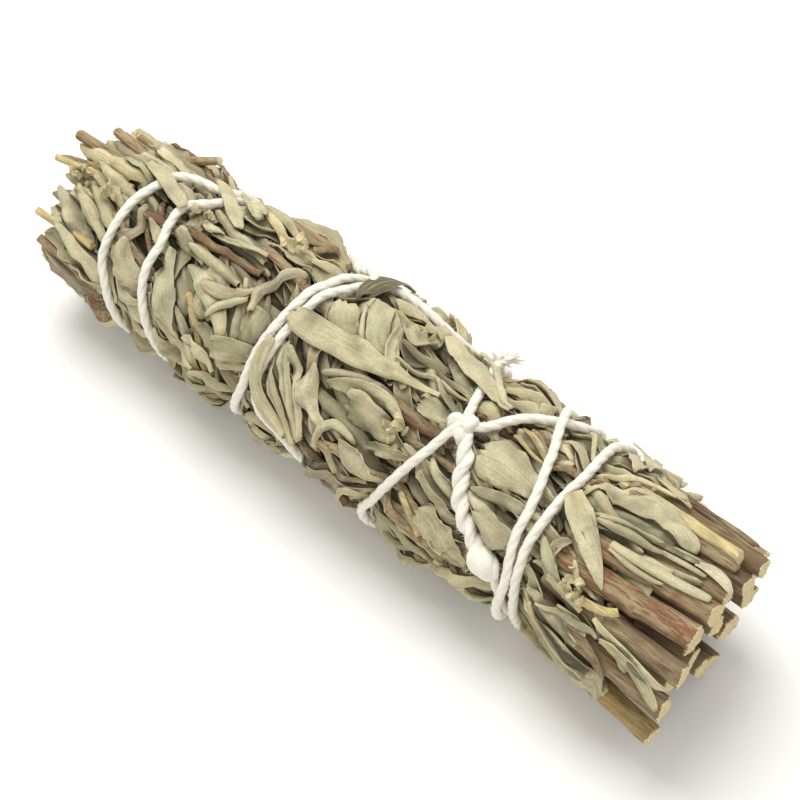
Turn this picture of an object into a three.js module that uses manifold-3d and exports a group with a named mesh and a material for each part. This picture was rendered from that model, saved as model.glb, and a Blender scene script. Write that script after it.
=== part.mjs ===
// Dried white sage bundle lying on its side, bound with one length of cotton twine.
// Millimetres. X runs from the leafy far end (-) to the cut stem ends (+), Z is up.
// A place on the bundle is given as s (along X), a (degrees round, 0 on top, 90 on the
// front side -Y, 180 underneath) and r (distance from the bundle's axis).
import * as THREE from 'three';
import Module from 'manifold-3d';

// Overall size
const AXIS_HEIGHT = 14.0;
const WIDE = 1.03;
const FLAT = 0.97;
const SHIFT_X = 1.12;
const SHIFT_Y = 0.0;
const MEAN_RADIUS = 14.4;
const CORE_START = -60.0;
const CORE_END = 50.0;
const CORE_DEPTH = 1.9;
const CORE_SIDES = 28;
// Radius of the leafy body at places along its length: [s, radius]
const BODY_RADIUS = [
  [-66, 11.4], [-61, 12.2], [-56, 13.1], [-50, 13.7], [-44, 13.8], [-36, 13.9], [-30, 14.3],
  [-24, 14.7], [-18, 14.6], [-10, 14.7], [-4, 14.8], [4, 14.5], [12, 14.3], [24, 14.1],
  [30, 14.0], [38, 14.1], [46, 14.2], [52, 13.9], [58, 13.4], [66, 12.8],
];
// How much further out the body reaches along its far and near outlines: [s, more]
const FAR_OUTLINE_AT = -60.0;
const FAR_OUTLINE = [
  [-56, 0.2], [-48, 0.5], [-42, -0.6], [-34, -0.5], [-28, 0.9], [-24, 2.0], [-20, 0.6],
  [-16, -0.7], [-8, 0.8], [-3, 0.6], [4, -0.7], [12, -0.8], [20, 0.8], [26, 0.2], [34, 0.9],
  [40, 0.3], [48, 0.0], [60, -0.6],
];
const NEAR_OUTLINE_AT = 120.0;
const NEAR_OUTLINE = [
  [-58, 0.6], [-44, 0.0], [-30, -0.3], [-22, -1.2], [-14, -0.2], [-6, -1.0], [0, -0.8],
  [5, 1.0], [10, 0.8], [16, 1.2], [22, 0.2], [28, 0.6], [34, -0.6], [40, 0.4], [50, 0.8],
  [60, 2.2],
];
const OUTLINE_SPREAD = 46.0;
// The side it lies on is pressed flat
const BED_SPREAD = 22.0;
const BED_RADIUS = 15.2;
const BED_ENDS = [-50.0, 50.0];

// Leaves
const LEAF_THICK = 0.42;
const BLADE_MIN = 0.7;
const BLADE_MIN_WIDTH = 0.8;
const ROOT_SINK = 0.5;
const FOLD_DEPTH = 0.28;
const FOLDED_WIDTH = 4.9;
const SEEN_CELLS = 4;
const PLAIN_CELLS = 3;
const SHOWN_SHARE = 0.62;
const FAR_TIPS = -62.5;
const NEAR_TIPS = 54.0;
const CELL = 0.5;
const LEAF_SEED = 41;

// Twine
const TWINE_RADIUS = 0.95;
const TWINE_SIDES = 6;
const TWINE_STEP = 5.6;
const TWINE_PRESS = -0.45;
const GROOVE_DEPTH = 1.3;
const GROOVE_REACH = 2.4;
const CROSS_REACH = 1.5;
const CLEARANCE = 0.3;
const CORD_STRAND_RADIUS = 0.72;
const CORD_OFFSET = 0.62;
const CORD_PITCH = 6.2;

// The twine's way round the bundle, [s, a] with a counted on from turn to turn.
const LONG_ROUTE = [
  [31.8, 74], [31.9, 85], [33, 112], [34.6, 150], [35.4, 200], [35.2, 250], [34.5, 302],
  [33.8, 313], [34.4, 333], [35, 346], [35.3, 356], [35.2, 367], [35.2, 386], [35.2, 408],
  [35.6, 418], [35.9, 430], [36.1, 443], [35.6, 461], [34, 505], [31.5, 560], [27.5, 620],
  [24.6, 655], [24.3, 668], [26, 687], [27.6, 700], [29.4, 713], [30.3, 722.5], [31.4, 733],
  [32.1, 742], [32.7, 753], [32.8, 761], [33.2, 770], [33.7, 780], [34.2, 792], [33.4, 812],
  [30, 850], [24, 900], [15, 965], [7, 1010], [1, 1029], [-7, 1033], [-11.8, 1041],
  [-14, 1056], [-14.4, 1069], [-15.2, 1079], [-15.2, 1087], [-15.3, 1101], [-15.7, 1122],
  [-15.8, 1143], [-16.1, 1155], [-17.4, 1171], [-22, 1230], [-28, 1300], [-34.5, 1370],
  [-37.6, 1405], [-38.9, 1425], [-41.4, 1440], [-41, 1455], [-39.8, 1470], [-39.8, 1485],
  [-39, 1500], [-37.6, 1515], [-36.2, 1530], [-35, 1545], [-34.4, 1620], [-35.6, 1700],
  [-38, 1752], [-39.6, 1768], [-44.5, 1774], [-47.5, 1785], [-47.7, 1797], [-48.5, 1815],
  [-48.5, 1830], [-48.3, 1845], [-47.9, 1860], [-46.3, 1875], [-45.2, 1890], [-40.5, 1960],
  [-29, 2050], [-16, 2108], [-10.5, 2129], [-11.5, 2140], [-12.5, 2149.5], [-13.4, 2159],
  [-13.4, 2167], [-13.5, 2181], [-13.8, 2202], [-13.8, 2223], [-12.0, 2241], [-7.4, 2250],
  [-1, 2300], [7, 2390], [11, 2455], [12, 2476], [13.5, 2491], [15.7, 2516.5], [17.3, 2533.5],
];
// The loop that leaves the main knot, goes round the back and returns to it.
const LOOP_ROUTE = [
  [17.3, 13.5], [20, 4], [21, -4], [22, -12], [23.5, -21], [25.3, -29], [27, -39], [29, -50],
  [29.2, -66], [25, -100], [18, -150], [11, -205], [8.3, -245], [8.5, -260], [10, -271],
  [12, -290], [13.3, -303], [14.5, -315.5], [15.5, -326.5], [16.3, -336], [17.3, -346.5],
];
// The doubled cord from the main knot to the end knot.
const CORD_ROUTE = [
  [17.3, 13.5], [20.3, 25.6], [21.4, 35], [22.8, 45.5], [24.4, 54], [26, 59], [28.2, 65],
  [31.6, 71],
];
const LOOSE_END = [12, -44];
const LOOSE_LIFT = 1.5;
const MAIN_KNOT = { s: 17.3, a: 13.5, size: 1.55, lift: 1.2, turn: 20 };
const END_KNOT = { s: 31.6, a: 71, size: 1.35, lift: 1.1, turn: 80 };

// Stems at the cut end: name, s where it ends, [a, r] there, [a, r] at STEM_ROOT, radius.
const STEM_ROOT = 39.0;
const STEM_GAP = 0.36;
const CUT_STEMS = [
  ['stem_01', 61.5, [31, 12.7], [45, 12.3], 1.85],
  ['stem_02', 61.8, [17.7, 12.9], [22, 12.4], 1.55],
  ['stem_03', 61.2, [3, 12.5], [11, 11.0], 1.3],
  ['stem_04', 62.2, [-12, 12.4], [-3, 10.8], 1.4],
  ['stem_05', 58.5, [-25, 13.4], [-22, 13.2], 0.95],
  ['stem_06', 61.4, [-37, 12.7], [-35, 12.6], 1.35],
  ['stem_07', 62.6, [82, 13.8], [73, 12.4], 1.55],
  ['stem_08', 61.5, [115, 15.0], [106, 13.0], 1.5],
  ['stem_09', 62.8, [58, 12.6], [58, 11.8], 1.6],
  ['stem_10', 60.2, [97, 11.8], [90, 11.4], 1.2],
  ['stem_11', 59.4, [-58, 12.5], [-60, 12.0], 1.5],
  ['stem_12', 58.2, [-84, 12.6], [-82, 12.1], 1.6],
  ['stem_13', 58.4, [-110, 12.4], [-112, 12.2], 1.4],
  ['stem_14', 58.0, [-136, 12.0], [-134, 12.0], 1.55],
  ['stem_15', 59.0, [-165, 11.2], [-160, 11.4], 1.4],
  ['stem_16', 59.2, [138, 11.8], [136, 12.0], 1.5],
  ['stem_17', 60.6, [10, 8.4], [14, 7.6], 1.5],
  ['stem_18', 60.2, [44, 8.2], [48, 7.8], 1.6],
  ['stem_19', 59.6, [86, 7.8], [84, 7.6], 1.4],
  ['stem_20', 58.8, [128, 7.8], [126, 7.8], 1.5],
  ['stem_21', 59.6, [176, 7.4], [174, 7.6], 1.5],
  ['stem_22', 58.8, [-134, 7.8], [-132, 7.8], 1.4],
  ['stem_23', 59.8, [-84, 8.0], [-86, 7.8], 1.5],
  ['stem_24', 61.2, [-36, 8.4], [-40, 8.0], 1.45],
  ['stem_25', 60.2, [0, 3.6], [0, 3.6], 1.6],
  ['stem_26', 59.4, [125, 3.4], [120, 3.4], 1.5],
  ['stem_27', 60.0, [-118, 3.6], [-120, 3.6], 1.5],
];
// Twigs at the leafy end: name, [s, a, r] at the tip, [s, a, r] at the root, radius.
const FAR_TWIGS = [
  ['twig_01', [-65.0, 0, 12.8], [-50, -4, 12.4], 1.05],
  ['twig_02', [-65.0, 23, 12.6], [-51, 9, 12.2], 0.65],
  ['twig_03', [-60.8, -16, 14.0], [-48, -18, 12.0], 0.9],
  ['twig_04', [-45.4, -42, 16.2], [-52.5, -46, 12.2], 0.75],
  ['twig_05', [-59.6, -34, 12.6], [-50, -33, 12.2], 0.8],
  ['twig_06', [-63.0, 62, 12.8], [-51, 60, 12.4], 0.75],
  ['twig_07', [-61.5, 81, 13.0], [-50, 91, 12.2], 0.9],
  ['twig_08', [-61.0, -78, 10.5], [-50, -74, 10.5], 1.1],
  ['twig_09', [-60.2, 150, 9.8], [-50, 152, 9.8], 1.0],
  ['twig_10', [-61.8, 30, 6.0], [-50, 30, 6.0], 1.2],
  ['twig_11', [-60.6, -140, 5.5], [-50, -140, 5.5], 1.1],
];

// Leaves seen in front: [s, a] at the middle, heading in degrees from +X toward +a,
// bend over the length in degrees, length, width, fold (0 flat to 1 folded in half).
const SEEN_LEAVES = [
  [-54.5, 4, 172, 10, 15, 4.2, 0.4], [-55, 20, 164, -12, 15, 4.0, 0.3],
  [-54.5, 36, 160, 8, 16, 4.6, 0.2], [-54, 52, 158, -8, 16, 4.4, 0.3],
  [-54.5, 68, 156, 10, 15, 4.2, 0.5], [-54, 84, 160, -6, 15, 4.2, 0.3],
  [-53, -12, 176, 8, 17, 5.0, 0.2], [-51, 12, 20, 14, 20, 5.2, 0.2],
  [-50, 45, 24, -10, 18, 5.0, 0.3], [-50, 72, 25, 10, 17, 4.6, 0.4],
  [-44, 2, 10, 18, 22, 5.4, 0.2], [-43.5, 22, 18, 20, 20, 5.0, 0.3],
  [-43, 42, 28, -14, 18, 4.6, 0.2], [-42.5, 60, 40, 20, 18, 4.4, 0.4],
  [-42, 80, 30, -10, 20, 4.8, 0.2], [-34, -30, 8, -8, 26, 5.6, 0.1],
  [-33, -8, -6, 14, 26, 5.4, 0.3], [-32, 10, 6, 24, 24, 4.8, 0.4],
  [-32, 30, 34, 26, 22, 5.2, 0.2], [-30, 48, 52, 20, 20, 5.0, 0.3],
  [-28, 66, 50, -12, 22, 5.2, 0.2], [-27, 88, 40, 12, 22, 5.0, 0.3],
  [-23, -22, -4, 16, 24, 5.4, 0.2], [-22, -4, 8, -16, 22, 5.0, 0.3],
  [-22, 18, 20, 26, 22, 5.6, 0.2], [-21, 40, 44, 24, 20, 5.2, 0.2],
  [-20, 62, 56, -10, 20, 4.8, 0.4],
  [-9.5, 44, 42, 14, 19, 2.4, 0.8], [-8, 52, 44, 14, 20, 2.2, 0.8],
  [-9, 60, 46, 14, 20, 2.6, 0.7], [-6, 66, 44, 10, 20, 2.4, 0.8], [-4, 74, 42, 8, 21, 2.8, 0.6],
  [-4, 24, -8, -16, 27, 4.8, 0.2], [-8, -8, -14, 10, 17, 5.4, 0.3],
  [-3, -3, -34, 12, 15, 5.0, 0.5], [1, -18, -20, -20, 20, 5.6, 0.2],
  [-7, -38, 12, -10, 16, 4.6, 0.3], [4, 8, 10, 14, 20, 5.0, 0.2],
  [3, 40, 24, 10, 22, 5.2, 0.2], [5, 56, 30, -12, 20, 5.0, 0.3], [7, 74, 26, 10, 22, 5.4, 0.2],
  [12, -26, 38, 14, 22, 4.8, 0.2], [15, -4, 16, -14, 18, 4.4, 0.3],
  [25.4, 12, 12, -10, 15, 7.0, 0.05], [17, 36, 18, 16, 20, 5.2, 0.3],
  [22, 78, 14, -8, 24, 5.0, 0.2], [28, 44, 20, 14, 17, 4.8, 0.3], [28, -18, 14, -10, 16, 3.6, 0.5],
  [27, 62, 8, 12, 16, 4.4, 0.2], [20, 96, 10, 8, 26, 5.2, 0.2],
  [45.5, -4, -12, 6, 21, 3.6, 0.4], [47, 8, 4, -8, 20, 3.4, 0.5],
  [41.5, 26, 62, 6, 13, 3.2, 0.7], [41.5, 44, 30, 40, 9, 3.0, 0.7],
  [44.6, 63, 30, 30, 8, 4.0, 0.3], [54, 66, 36, -24, 14, 2.2, 0.5],
  [50.5, 14.5, -16, 4, 15, 1.9, 0.6], [44, 93, 14, 6, 20, 4.4, 0.2],
  [40, -36, 6, 10, 14, 4.6, 0.3], [50, 62, 18, 30, 13, 2.6, 0.5],
];

const lerp = (a, b, t) => a + (b - a) * t;
const clamp = (v, lo, hi) => Math.min(hi, Math.max(lo, v));
const smooth = (lo, hi, v) => {
  const t = clamp((v - lo) / (hi - lo), 0, 1);
  return t * t * (3 - 2 * t);
};
const radians = (degrees) => (degrees * Math.PI) / 180;

function seededRandom(seed) {
  let state = seed >>> 0;
  return () => {
    state = (Math.imul(state, 1664525) + 1013904223) >>> 0;
    return state / 4294967296;
  };
}

function place(s, a, r) {
  const turn = radians(a);
  return [
    s + SHIFT_X,
    SHIFT_Y - WIDE * r * Math.sin(turn),
    AXIS_HEIGHT + FLAT * r * Math.cos(turn),
  ];
}

function readTable(table, s) {
  let i = 1;
  while (i < table.length - 1 && s > table[i][0]) i += 1;
  const [s0, v0] = table[i - 1];
  const [s1, v1] = table[i];
  return lerp(v0, v1, clamp((s - s0) / (s1 - s0), 0, 1));
}

const awayFrom = (a, b) => Math.abs(((((a - b) % 360) + 540) % 360) - 180);

// Unrolled surface grid over s and a
const GRID_START = -68.0;
const GRID_ROWS = 272;
const GRID_COLS = 180;
const COL_DEG = 360 / GRID_COLS;
const DEG_MM = (MEAN_RADIUS * Math.PI) / 180;

const wrapCol = (c) => ((c % GRID_COLS) + GRID_COLS) % GRID_COLS;

function gridAt(grid, s, a) {
  const row = clamp((s - GRID_START) / CELL, 0, GRID_ROWS - 1.001);
  const col = (((a / COL_DEG) % GRID_COLS) + GRID_COLS) % GRID_COLS;
  const i = Math.floor(row);
  const j = Math.floor(col);
  const fi = row - i;
  const fj = col - j;
  const j2 = wrapCol(j + 1);
  const low = lerp(grid[i * GRID_COLS + wrapCol(j)], grid[i * GRID_COLS + j2], fj);
  const high = lerp(grid[(i + 1) * GRID_COLS + wrapCol(j)], grid[(i + 1) * GRID_COLS + j2], fj);
  return lerp(low, high, fi);
}

// Route points spaced evenly along a curve through the listed places
function spacedRoute(places, step) {
  const flat = places.map(([s, a]) => new THREE.Vector3(s, a * DEG_MM, 0));
  const curve = new THREE.CatmullRomCurve3(flat, false, 'centripetal');
  curve.arcLengthDivisions = flat.length * 24;
  const count = Math.max(4, Math.round(curve.getLength() / step));
  return curve.getSpacedPoints(count).map((p) => ({ s: p.x, a: p.y / DEG_MM }));
}

function routeGap(p, q) {
  const turn = ((((p.a - q.a) % 360) + 540) % 360) - 180;
  return Math.hypot(p.s - q.s, turn * DEG_MM);
}

function nearRouteGrid(routes) {
  const grid = new Float64Array(GRID_ROWS * GRID_COLS).fill(9);
  const reach = 9;
  for (const route of routes) {
    for (const p of route) {
      const row = Math.round((p.s - GRID_START) / CELL);
      const col = Math.round(p.a / COL_DEG);
      for (let i = row - reach; i <= row + reach; i += 1) {
        if (i < 0 || i >= GRID_ROWS) continue;
        for (let j = col - reach; j <= col + reach; j += 1) {
          const gap = Math.hypot(GRID_START + i * CELL - p.s, (j * COL_DEG - p.a) * DEG_MM);
          const k = i * GRID_COLS + wrapCol(j);
          if (gap < grid[k]) grid[k] = gap;
        }
      }
    }
  }
  return grid;
}

const longFine = spacedRoute(LONG_ROUTE, 0.8);
const loopFine = spacedRoute(LOOP_ROUTE, 0.8);
const cordFine = spacedRoute(CORD_ROUTE, 0.8);
const twineGap = nearRouteGrid([longFine, loopFine, cordFine]);

function envelope(s, a) {
  const gap = gridAt(twineGap, s, a);
  const groove = GROOVE_DEPTH * Math.exp(-((gap / GROOVE_REACH) ** 2));
  const far = 1 - smooth(0, OUTLINE_SPREAD, awayFrom(a, FAR_OUTLINE_AT));
  const near = 1 - smooth(0, OUTLINE_SPREAD, awayFrom(a, NEAR_OUTLINE_AT));
  const body = readTable(BODY_RADIUS, s) + far * readTable(FAR_OUTLINE, s)
    + near * readTable(NEAR_OUTLINE, s);
  const bedded = (1 - smooth(BED_SPREAD * 0.6, BED_SPREAD * 1.3, awayFrom(a, 180)))
    * smooth(BED_ENDS[0] - 6, BED_ENDS[0], s) * (1 - smooth(BED_ENDS[1], BED_ENDS[1] + 6, s));
  return lerp(body, BED_RADIUS, bedded) - groove;
}

// Leaves drawn at random from an even lattice, the lower layer first
function flow(s, a) {
  const front = awayFrom(a, 55);
  const slope = s < -48 ? 22 : s < -15 ? 50 : s < -3 ? 42 : s < 12 ? 24 : 12;
  return slope * (1 - smooth(20, 80, front)) + 4;
}

function scatteredLeaves() {
  const draw = seededRandom(LEAF_SEED);
  const leaves = [];
  for (let layer = 0; layer < 3; layer += 1) {
    const rows = 6;
    const cols = 12;
    for (let i = 0; i < rows; i += 1) {
      for (let j = 0; j < cols; j += 1) {
        const middle = -58 + (i + 0.1 + 0.8 * draw()) * (108 / rows);
        const a = ((j + 0.15 + 0.7 * draw()) * 360) / cols + layer * 9;
        const back = draw() < 0.6 ? 180 : 0;
        const heading = flow(middle, a) + back + (draw() - 0.5) * 30;
        const bend = (draw() - 0.5) * 50;
        const length = 24 + 12 * draw();
        const width = 4.6 + 2.6 * draw();
        const fold = draw() < 0.25 ? 0.7 : 0.35 * draw();
        const lift = 0.5 * draw();
        const reach = 0.5 * length;
        const s = clamp(middle, FAR_TIPS + 3 * draw() + reach, NEAR_TIPS - 6 * draw() - reach);
        leaves.push({ s, a, heading, bend, length, width, fold, lift, layer });
      }
    }
  }
  return leaves;
}

function seenLeaves() {
  const draw = seededRandom(LEAF_SEED + 1);
  return SEEN_LEAVES.map(([s, a, heading, bend, length, width, fold]) => (
    { s, a, heading, bend, length, width, fold, lift: 0.5 * draw(), layer: 3 }
  ));
}

function leafWidth(t) {
  return Math.pow(Math.sin(Math.PI * Math.pow(clamp(t, 0.004, 0.996), 0.85)), 0.8);
}

// Lays a leaf over the stack: a lattice of places with the height of its underside
function drape(leaf, stack) {
  const along = Math.ceil(leaf.length / CELL) + 1;
  const half = Math.max(1, Math.ceil(leaf.width / CELL / 2));
  const across = 2 * half + 1;
  const line = [];
  let s = 0;
  let u = 0;
  for (let i = 0; i < along; i += 1) {
    const t = i / (along - 1);
    const turn = radians(leaf.heading + leaf.bend * (t - 0.5));
    line.push([s, u, turn]);
    s += (Math.cos(turn) * leaf.length) / (along - 1);
    u += (Math.sin(turn) * leaf.length) / (along - 1);
  }
  const [ms, mu] = line[Math.floor(along / 2)];
  const spots = [];
  for (let i = 0; i < along; i += 1) {
    const t = i / (along - 1);
    const wide = 0.5 * leaf.width * leafWidth(t);
    const [ls, lu, turn] = line[i];
    for (let j = 0; j < across; j += 1) {
      const v = (j / half - 1) * wide;
      const ps = leaf.s + ls - ms - Math.sin(turn) * v;
      const pa = leaf.a + (lu - mu + Math.cos(turn) * v) / DEG_MM;
      spots.push({ s: ps, a: pa, v: j / half - 1, t });
    }
  }
  const rest = spots.map((p) => gridAt(stack, p.s, p.a));
  let height = rest.slice();
  for (let pass = 0; pass < 8; pass += 1) {
    const next = height.slice();
    for (let i = 0; i < along; i += 1) {
      for (let j = 0; j < across; j += 1) {
        const k = i * across + j;
        const up = height[Math.max(0, i - 1) * across + j];
        const down = height[Math.min(along - 1, i + 1) * across + j];
        const left = height[i * across + Math.max(0, j - 1)];
        const right = height[i * across + Math.min(across - 1, j + 1)];
        next[k] = Math.max(rest[k], 0.2 * (height[k] + up + down + left + right));
      }
    }
    height = next;
  }
  spots.forEach((p, k) => {
    const row = Math.round((p.s - GRID_START) / CELL);
    if (row < 0 || row >= GRID_ROWS) return;
    const cell = row * GRID_COLS + wrapCol(Math.round(p.a / COL_DEG));
    p.h = height[k];
    stack[cell] = Math.max(stack[cell], height[k] + LEAF_THICK);
  });
  spots.forEach((p, k) => { p.h = height[k]; });
  return { leaf, along, across, spots };
}

function blurred(grid) {
  let from = Float64Array.from(grid);
  const reach = 7;
  for (let pass = 0; pass < 2; pass += 1) {
    const rowsDone = new Float64Array(from.length);
    for (let i = 0; i < GRID_ROWS; i += 1) {
      for (let j = 0; j < GRID_COLS; j += 1) {
        let sum = 0;
        for (let d = -reach; d <= reach; d += 1) sum += from[i * GRID_COLS + wrapCol(j + d)];
        rowsDone[i * GRID_COLS + j] = sum / (2 * reach + 1);
      }
    }
    const done = new Float64Array(from.length);
    for (let i = 0; i < GRID_ROWS; i += 1) {
      for (let j = 0; j < GRID_COLS; j += 1) {
        let sum = 0;
        for (let d = -reach; d <= reach; d += 1) {
          sum += rowsDone[clamp(i + d, 0, GRID_ROWS - 1) * GRID_COLS + j];
        }
        done[i * GRID_COLS + j] = sum / (2 * reach + 1);
      }
    }
    from = done;
  }
  return from;
}

const stack = new Float64Array(GRID_ROWS * GRID_COLS);
const draped = [...scatteredLeaves(), ...seenLeaves()].map((leaf) => drape(leaf, stack));
const stackMean = blurred(stack);

// Radius of a leaf's upper face at one of its places, held down beside the twine
function leafTop(p, leaf) {
  const fold = FOLD_DEPTH * (0.4 + leaf.fold) * (Math.abs(p.v) - 0.5) * leafWidth(p.t);
  const rise = p.h + LEAF_THICK - gridAt(stackMean, p.s, p.a) + fold;
  const gap = gridAt(twineGap, p.s, p.a);
  const most = -0.2 + 1.4 * smooth(1.2, 4.0, gap);
  return envelope(p.s, p.a) + Math.min(rise, most);
}

// Share of a leaf that lies on top of the stack
function shownShare(entry) {
  const shown = entry.spots.filter((p) => p.h + LEAF_THICK > gridAt(stack, p.s, p.a) - 0.12);
  return shown.length / entry.spots.length;
}

// Solids
const wasm = await Module();
wasm.setup();

function solid(corners, faces) {
  const mesh = new wasm.Mesh({
    numProp: 3,
    vertProperties: Float32Array.from(corners.flat()),
    triVerts: Uint32Array.from(faces.flat()),
  });
  return new wasm.Manifold(mesh);
}

// A grid of rings joined in order and closed at both ends with a fan
function ringSolid(rings) {
  const sides = rings[0].length;
  const corners = rings.flat();
  const faces = [];
  for (let i = 0; i + 1 < rings.length; i += 1) {
    for (let j = 0; j < sides; j += 1) {
      const k = (j + 1) % sides;
      const a = i * sides + j;
      const b = i * sides + k;
      const c = (i + 1) * sides + j;
      const d = (i + 1) * sides + k;
      faces.push([a, b, d], [a, d, c]);
    }
  }
  const last = (rings.length - 1) * sides;
  for (let j = 1; j + 1 < sides; j += 1) {
    faces.push([0, j + 1, j], [last, last + j, last + j + 1]);
  }
  return solid(corners, faces);
}

// Rings of a round rod through 3-D points, with frames carried along without twist
function rodRings(points, radii, sides) {
  const spots = points.map((p) => new THREE.Vector3(...p));
  const rings = [];
  let side = null;
  spots.forEach((p, i) => {
    const before = spots[Math.max(0, i - 1)];
    const after = spots[Math.min(spots.length - 1, i + 1)];
    const ahead = after.clone().sub(before).normalize();
    if (!side) {
      side = new THREE.Vector3(0, 0, 1);
      if (Math.abs(ahead.z) > 0.9) side.set(0, 1, 0);
    }
    side = side.clone().addScaledVector(ahead, -side.dot(ahead)).normalize();
    const other = ahead.clone().cross(side);
    const ring = [];
    for (let j = 0; j < sides; j += 1) {
      const turn = (2 * Math.PI * j) / sides;
      const q = p.clone()
        .addScaledVector(side, radii[i] * Math.cos(turn))
        .addScaledVector(other, radii[i] * Math.sin(turn));
      ring.push([q.x, q.y, q.z]);
    }
    rings.push(ring);
  });
  return rings;
}

// A rod built as short lengths that share their end rings, so that it may cross itself
function rodPieces(points, radii, sides, lengthInRings) {
  const rings = rodRings(points, radii, sides);
  const pieces = [];
  for (let i = 0; i < rings.length - 1; i += lengthInRings) {
    pieces.push(ringSolid(rings.slice(i, Math.min(rings.length, i + lengthInRings + 1))));
  }
  return pieces;
}

// Heights of the twine's middle over the leaves, each later pass riding over earlier ones
function riddenRoute(route, earlier) {
  const done = [];
  route.forEach((p, i) => {
    let ride = 0;
    const others = earlier.concat(done.slice(0, Math.max(0, i - Math.ceil(20 / 0.8))));
    for (const q of others) {
      const gap = routeGap(p, q);
      if (gap < CROSS_REACH) {
        const need = q.ride + Math.sqrt(CROSS_REACH ** 2 - gap ** 2);
        ride = Math.max(ride, need);
      }
    }
    done.push({ s: p.s, a: p.a, ride });
  });
  const reach = 4;
  return done.map((p, i) => {
    let ride = p.ride;
    for (let d = -reach; d <= reach; d += 1) {
      const q = done[clamp(i + d, 0, done.length - 1)];
      ride = Math.max(ride, q.ride * (1 - Math.abs(d) / (reach + 1)));
    }
    const loose = routeGap(p, { s: LOOSE_END[0], a: LOOSE_END[1] });
    return { s: p.s, a: p.a, ride: ride + LOOSE_LIFT * Math.exp(-((loose / 2.2) ** 2)) };
  });
}

function twinePoint(p) {
  let r = envelope(p.s, p.a) + TWINE_RADIUS - TWINE_PRESS + p.ride;
  const drop = Math.cos(radians(p.a));
  if (drop < 0) {
    const lowest = (AXIS_HEIGHT - TWINE_RADIUS - 0.15) / (FLAT * -drop);
    r = Math.min(r, lowest);
  }
  return place(p.s, p.a, r);
}

function thinned(route, step) {
  const skip = Math.round(step / 0.8);
  const kept = [];
  for (let i = 0; i < route.length; i += skip) {
    const window = route.slice(Math.max(0, i - 1), i + 2);
    kept.push({ ...route[i], ride: Math.max(...window.map((q) => q.ride)) });
  }
  if ((route.length - 1) % skip !== 0) kept.push(route[route.length - 1]);
  return kept;
}

const longRidden = riddenRoute(longFine, []);
const loopRidden = riddenRoute(loopFine, longRidden.slice(0, -12));
const cordRidden = riddenRoute(cordFine, longRidden.slice(0, -12));

// A knot as a trefoil of the same twine, lying on the bundle
function knotPoints(knot) {
  const middle = new THREE.Vector3(...place(knot.s, knot.a, envelope(knot.s, knot.a) + knot.lift));
  const turn = radians(knot.a);
  const outward = new THREE.Vector3(0, -Math.sin(turn), Math.cos(turn));
  const round = new THREE.Vector3(0, -Math.cos(turn), -Math.sin(turn));
  const alongX = new THREE.Vector3(1, 0, 0);
  const points = [];
  const count = 15;
  for (let i = 0; i < count; i += 1) {
    const w = (2 * Math.PI * i) / count;
    const x = (Math.sin(w) + 1.6 * Math.sin(2 * w)) * 0.42 * knot.size;
    const y = (Math.cos(w) - 1.6 * Math.cos(2 * w)) * 0.42 * knot.size;
    const z = -Math.sin(3 * w) * 0.42 * knot.size;
    const spin = radians(knot.turn);
    const p = middle.clone()
      .addScaledVector(alongX, x * Math.cos(spin) - y * Math.sin(spin))
      .addScaledVector(round, x * Math.sin(spin) + y * Math.cos(spin))
      .addScaledVector(outward, z);
    points.push([p.x, p.y, p.z]);
  }
  points.push(points[0]);
  return points;
}

function cordStrands() {
  const route = thinned(cordRidden, 1.6);
  const middle = route.map((p) => new THREE.Vector3(
    ...place(p.s, p.a, envelope(p.s, p.a) + p.ride + CORD_OFFSET + 0.35),
  ));
  const strands = [[], []];
  let walked = 0;
  middle.forEach((p, i) => {
    if (i > 0) walked += p.distanceTo(middle[i - 1]);
    const turn = radians(route[i].a);
    const outward = new THREE.Vector3(0, -Math.sin(turn), Math.cos(turn));
    const ahead = middle[Math.min(middle.length - 1, i + 1)].clone()
      .sub(middle[Math.max(0, i - 1)]).normalize();
    const side = ahead.clone().cross(outward).normalize();
    const spin = (2 * Math.PI * walked) / CORD_PITCH;
    [0, Math.PI].forEach((phase, k) => {
      const q = p.clone()
        .addScaledVector(outward, CORD_OFFSET * Math.cos(spin + phase))
        .addScaledVector(side, CORD_OFFSET * Math.sin(spin + phase));
      strands[k].push([q.x, q.y, q.z]);
    });
  });
  return strands;
}

function twineSolid(extra) {
  const pieces = [];
  for (const route of [longRidden, loopRidden]) {
    const points = thinned(route, TWINE_STEP).map(twinePoint);
    const radii = points.map(() => TWINE_RADIUS + extra);
    pieces.push(...rodPieces(points, radii, TWINE_SIDES, 9));
  }
  for (const points of cordStrands()) {
    const radii = points.map(() => CORD_STRAND_RADIUS + extra);
    pieces.push(...rodPieces(points, radii, TWINE_SIDES, 40));
  }
  for (const knot of [MAIN_KNOT, END_KNOT]) {
    const points = knotPoints(knot);
    const radii = points.map(() => 0.8 + extra);
    pieces.push(...rodPieces(points, radii, TWINE_SIDES, 6));
  }
  return wasm.Manifold.union(pieces);
}

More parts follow.
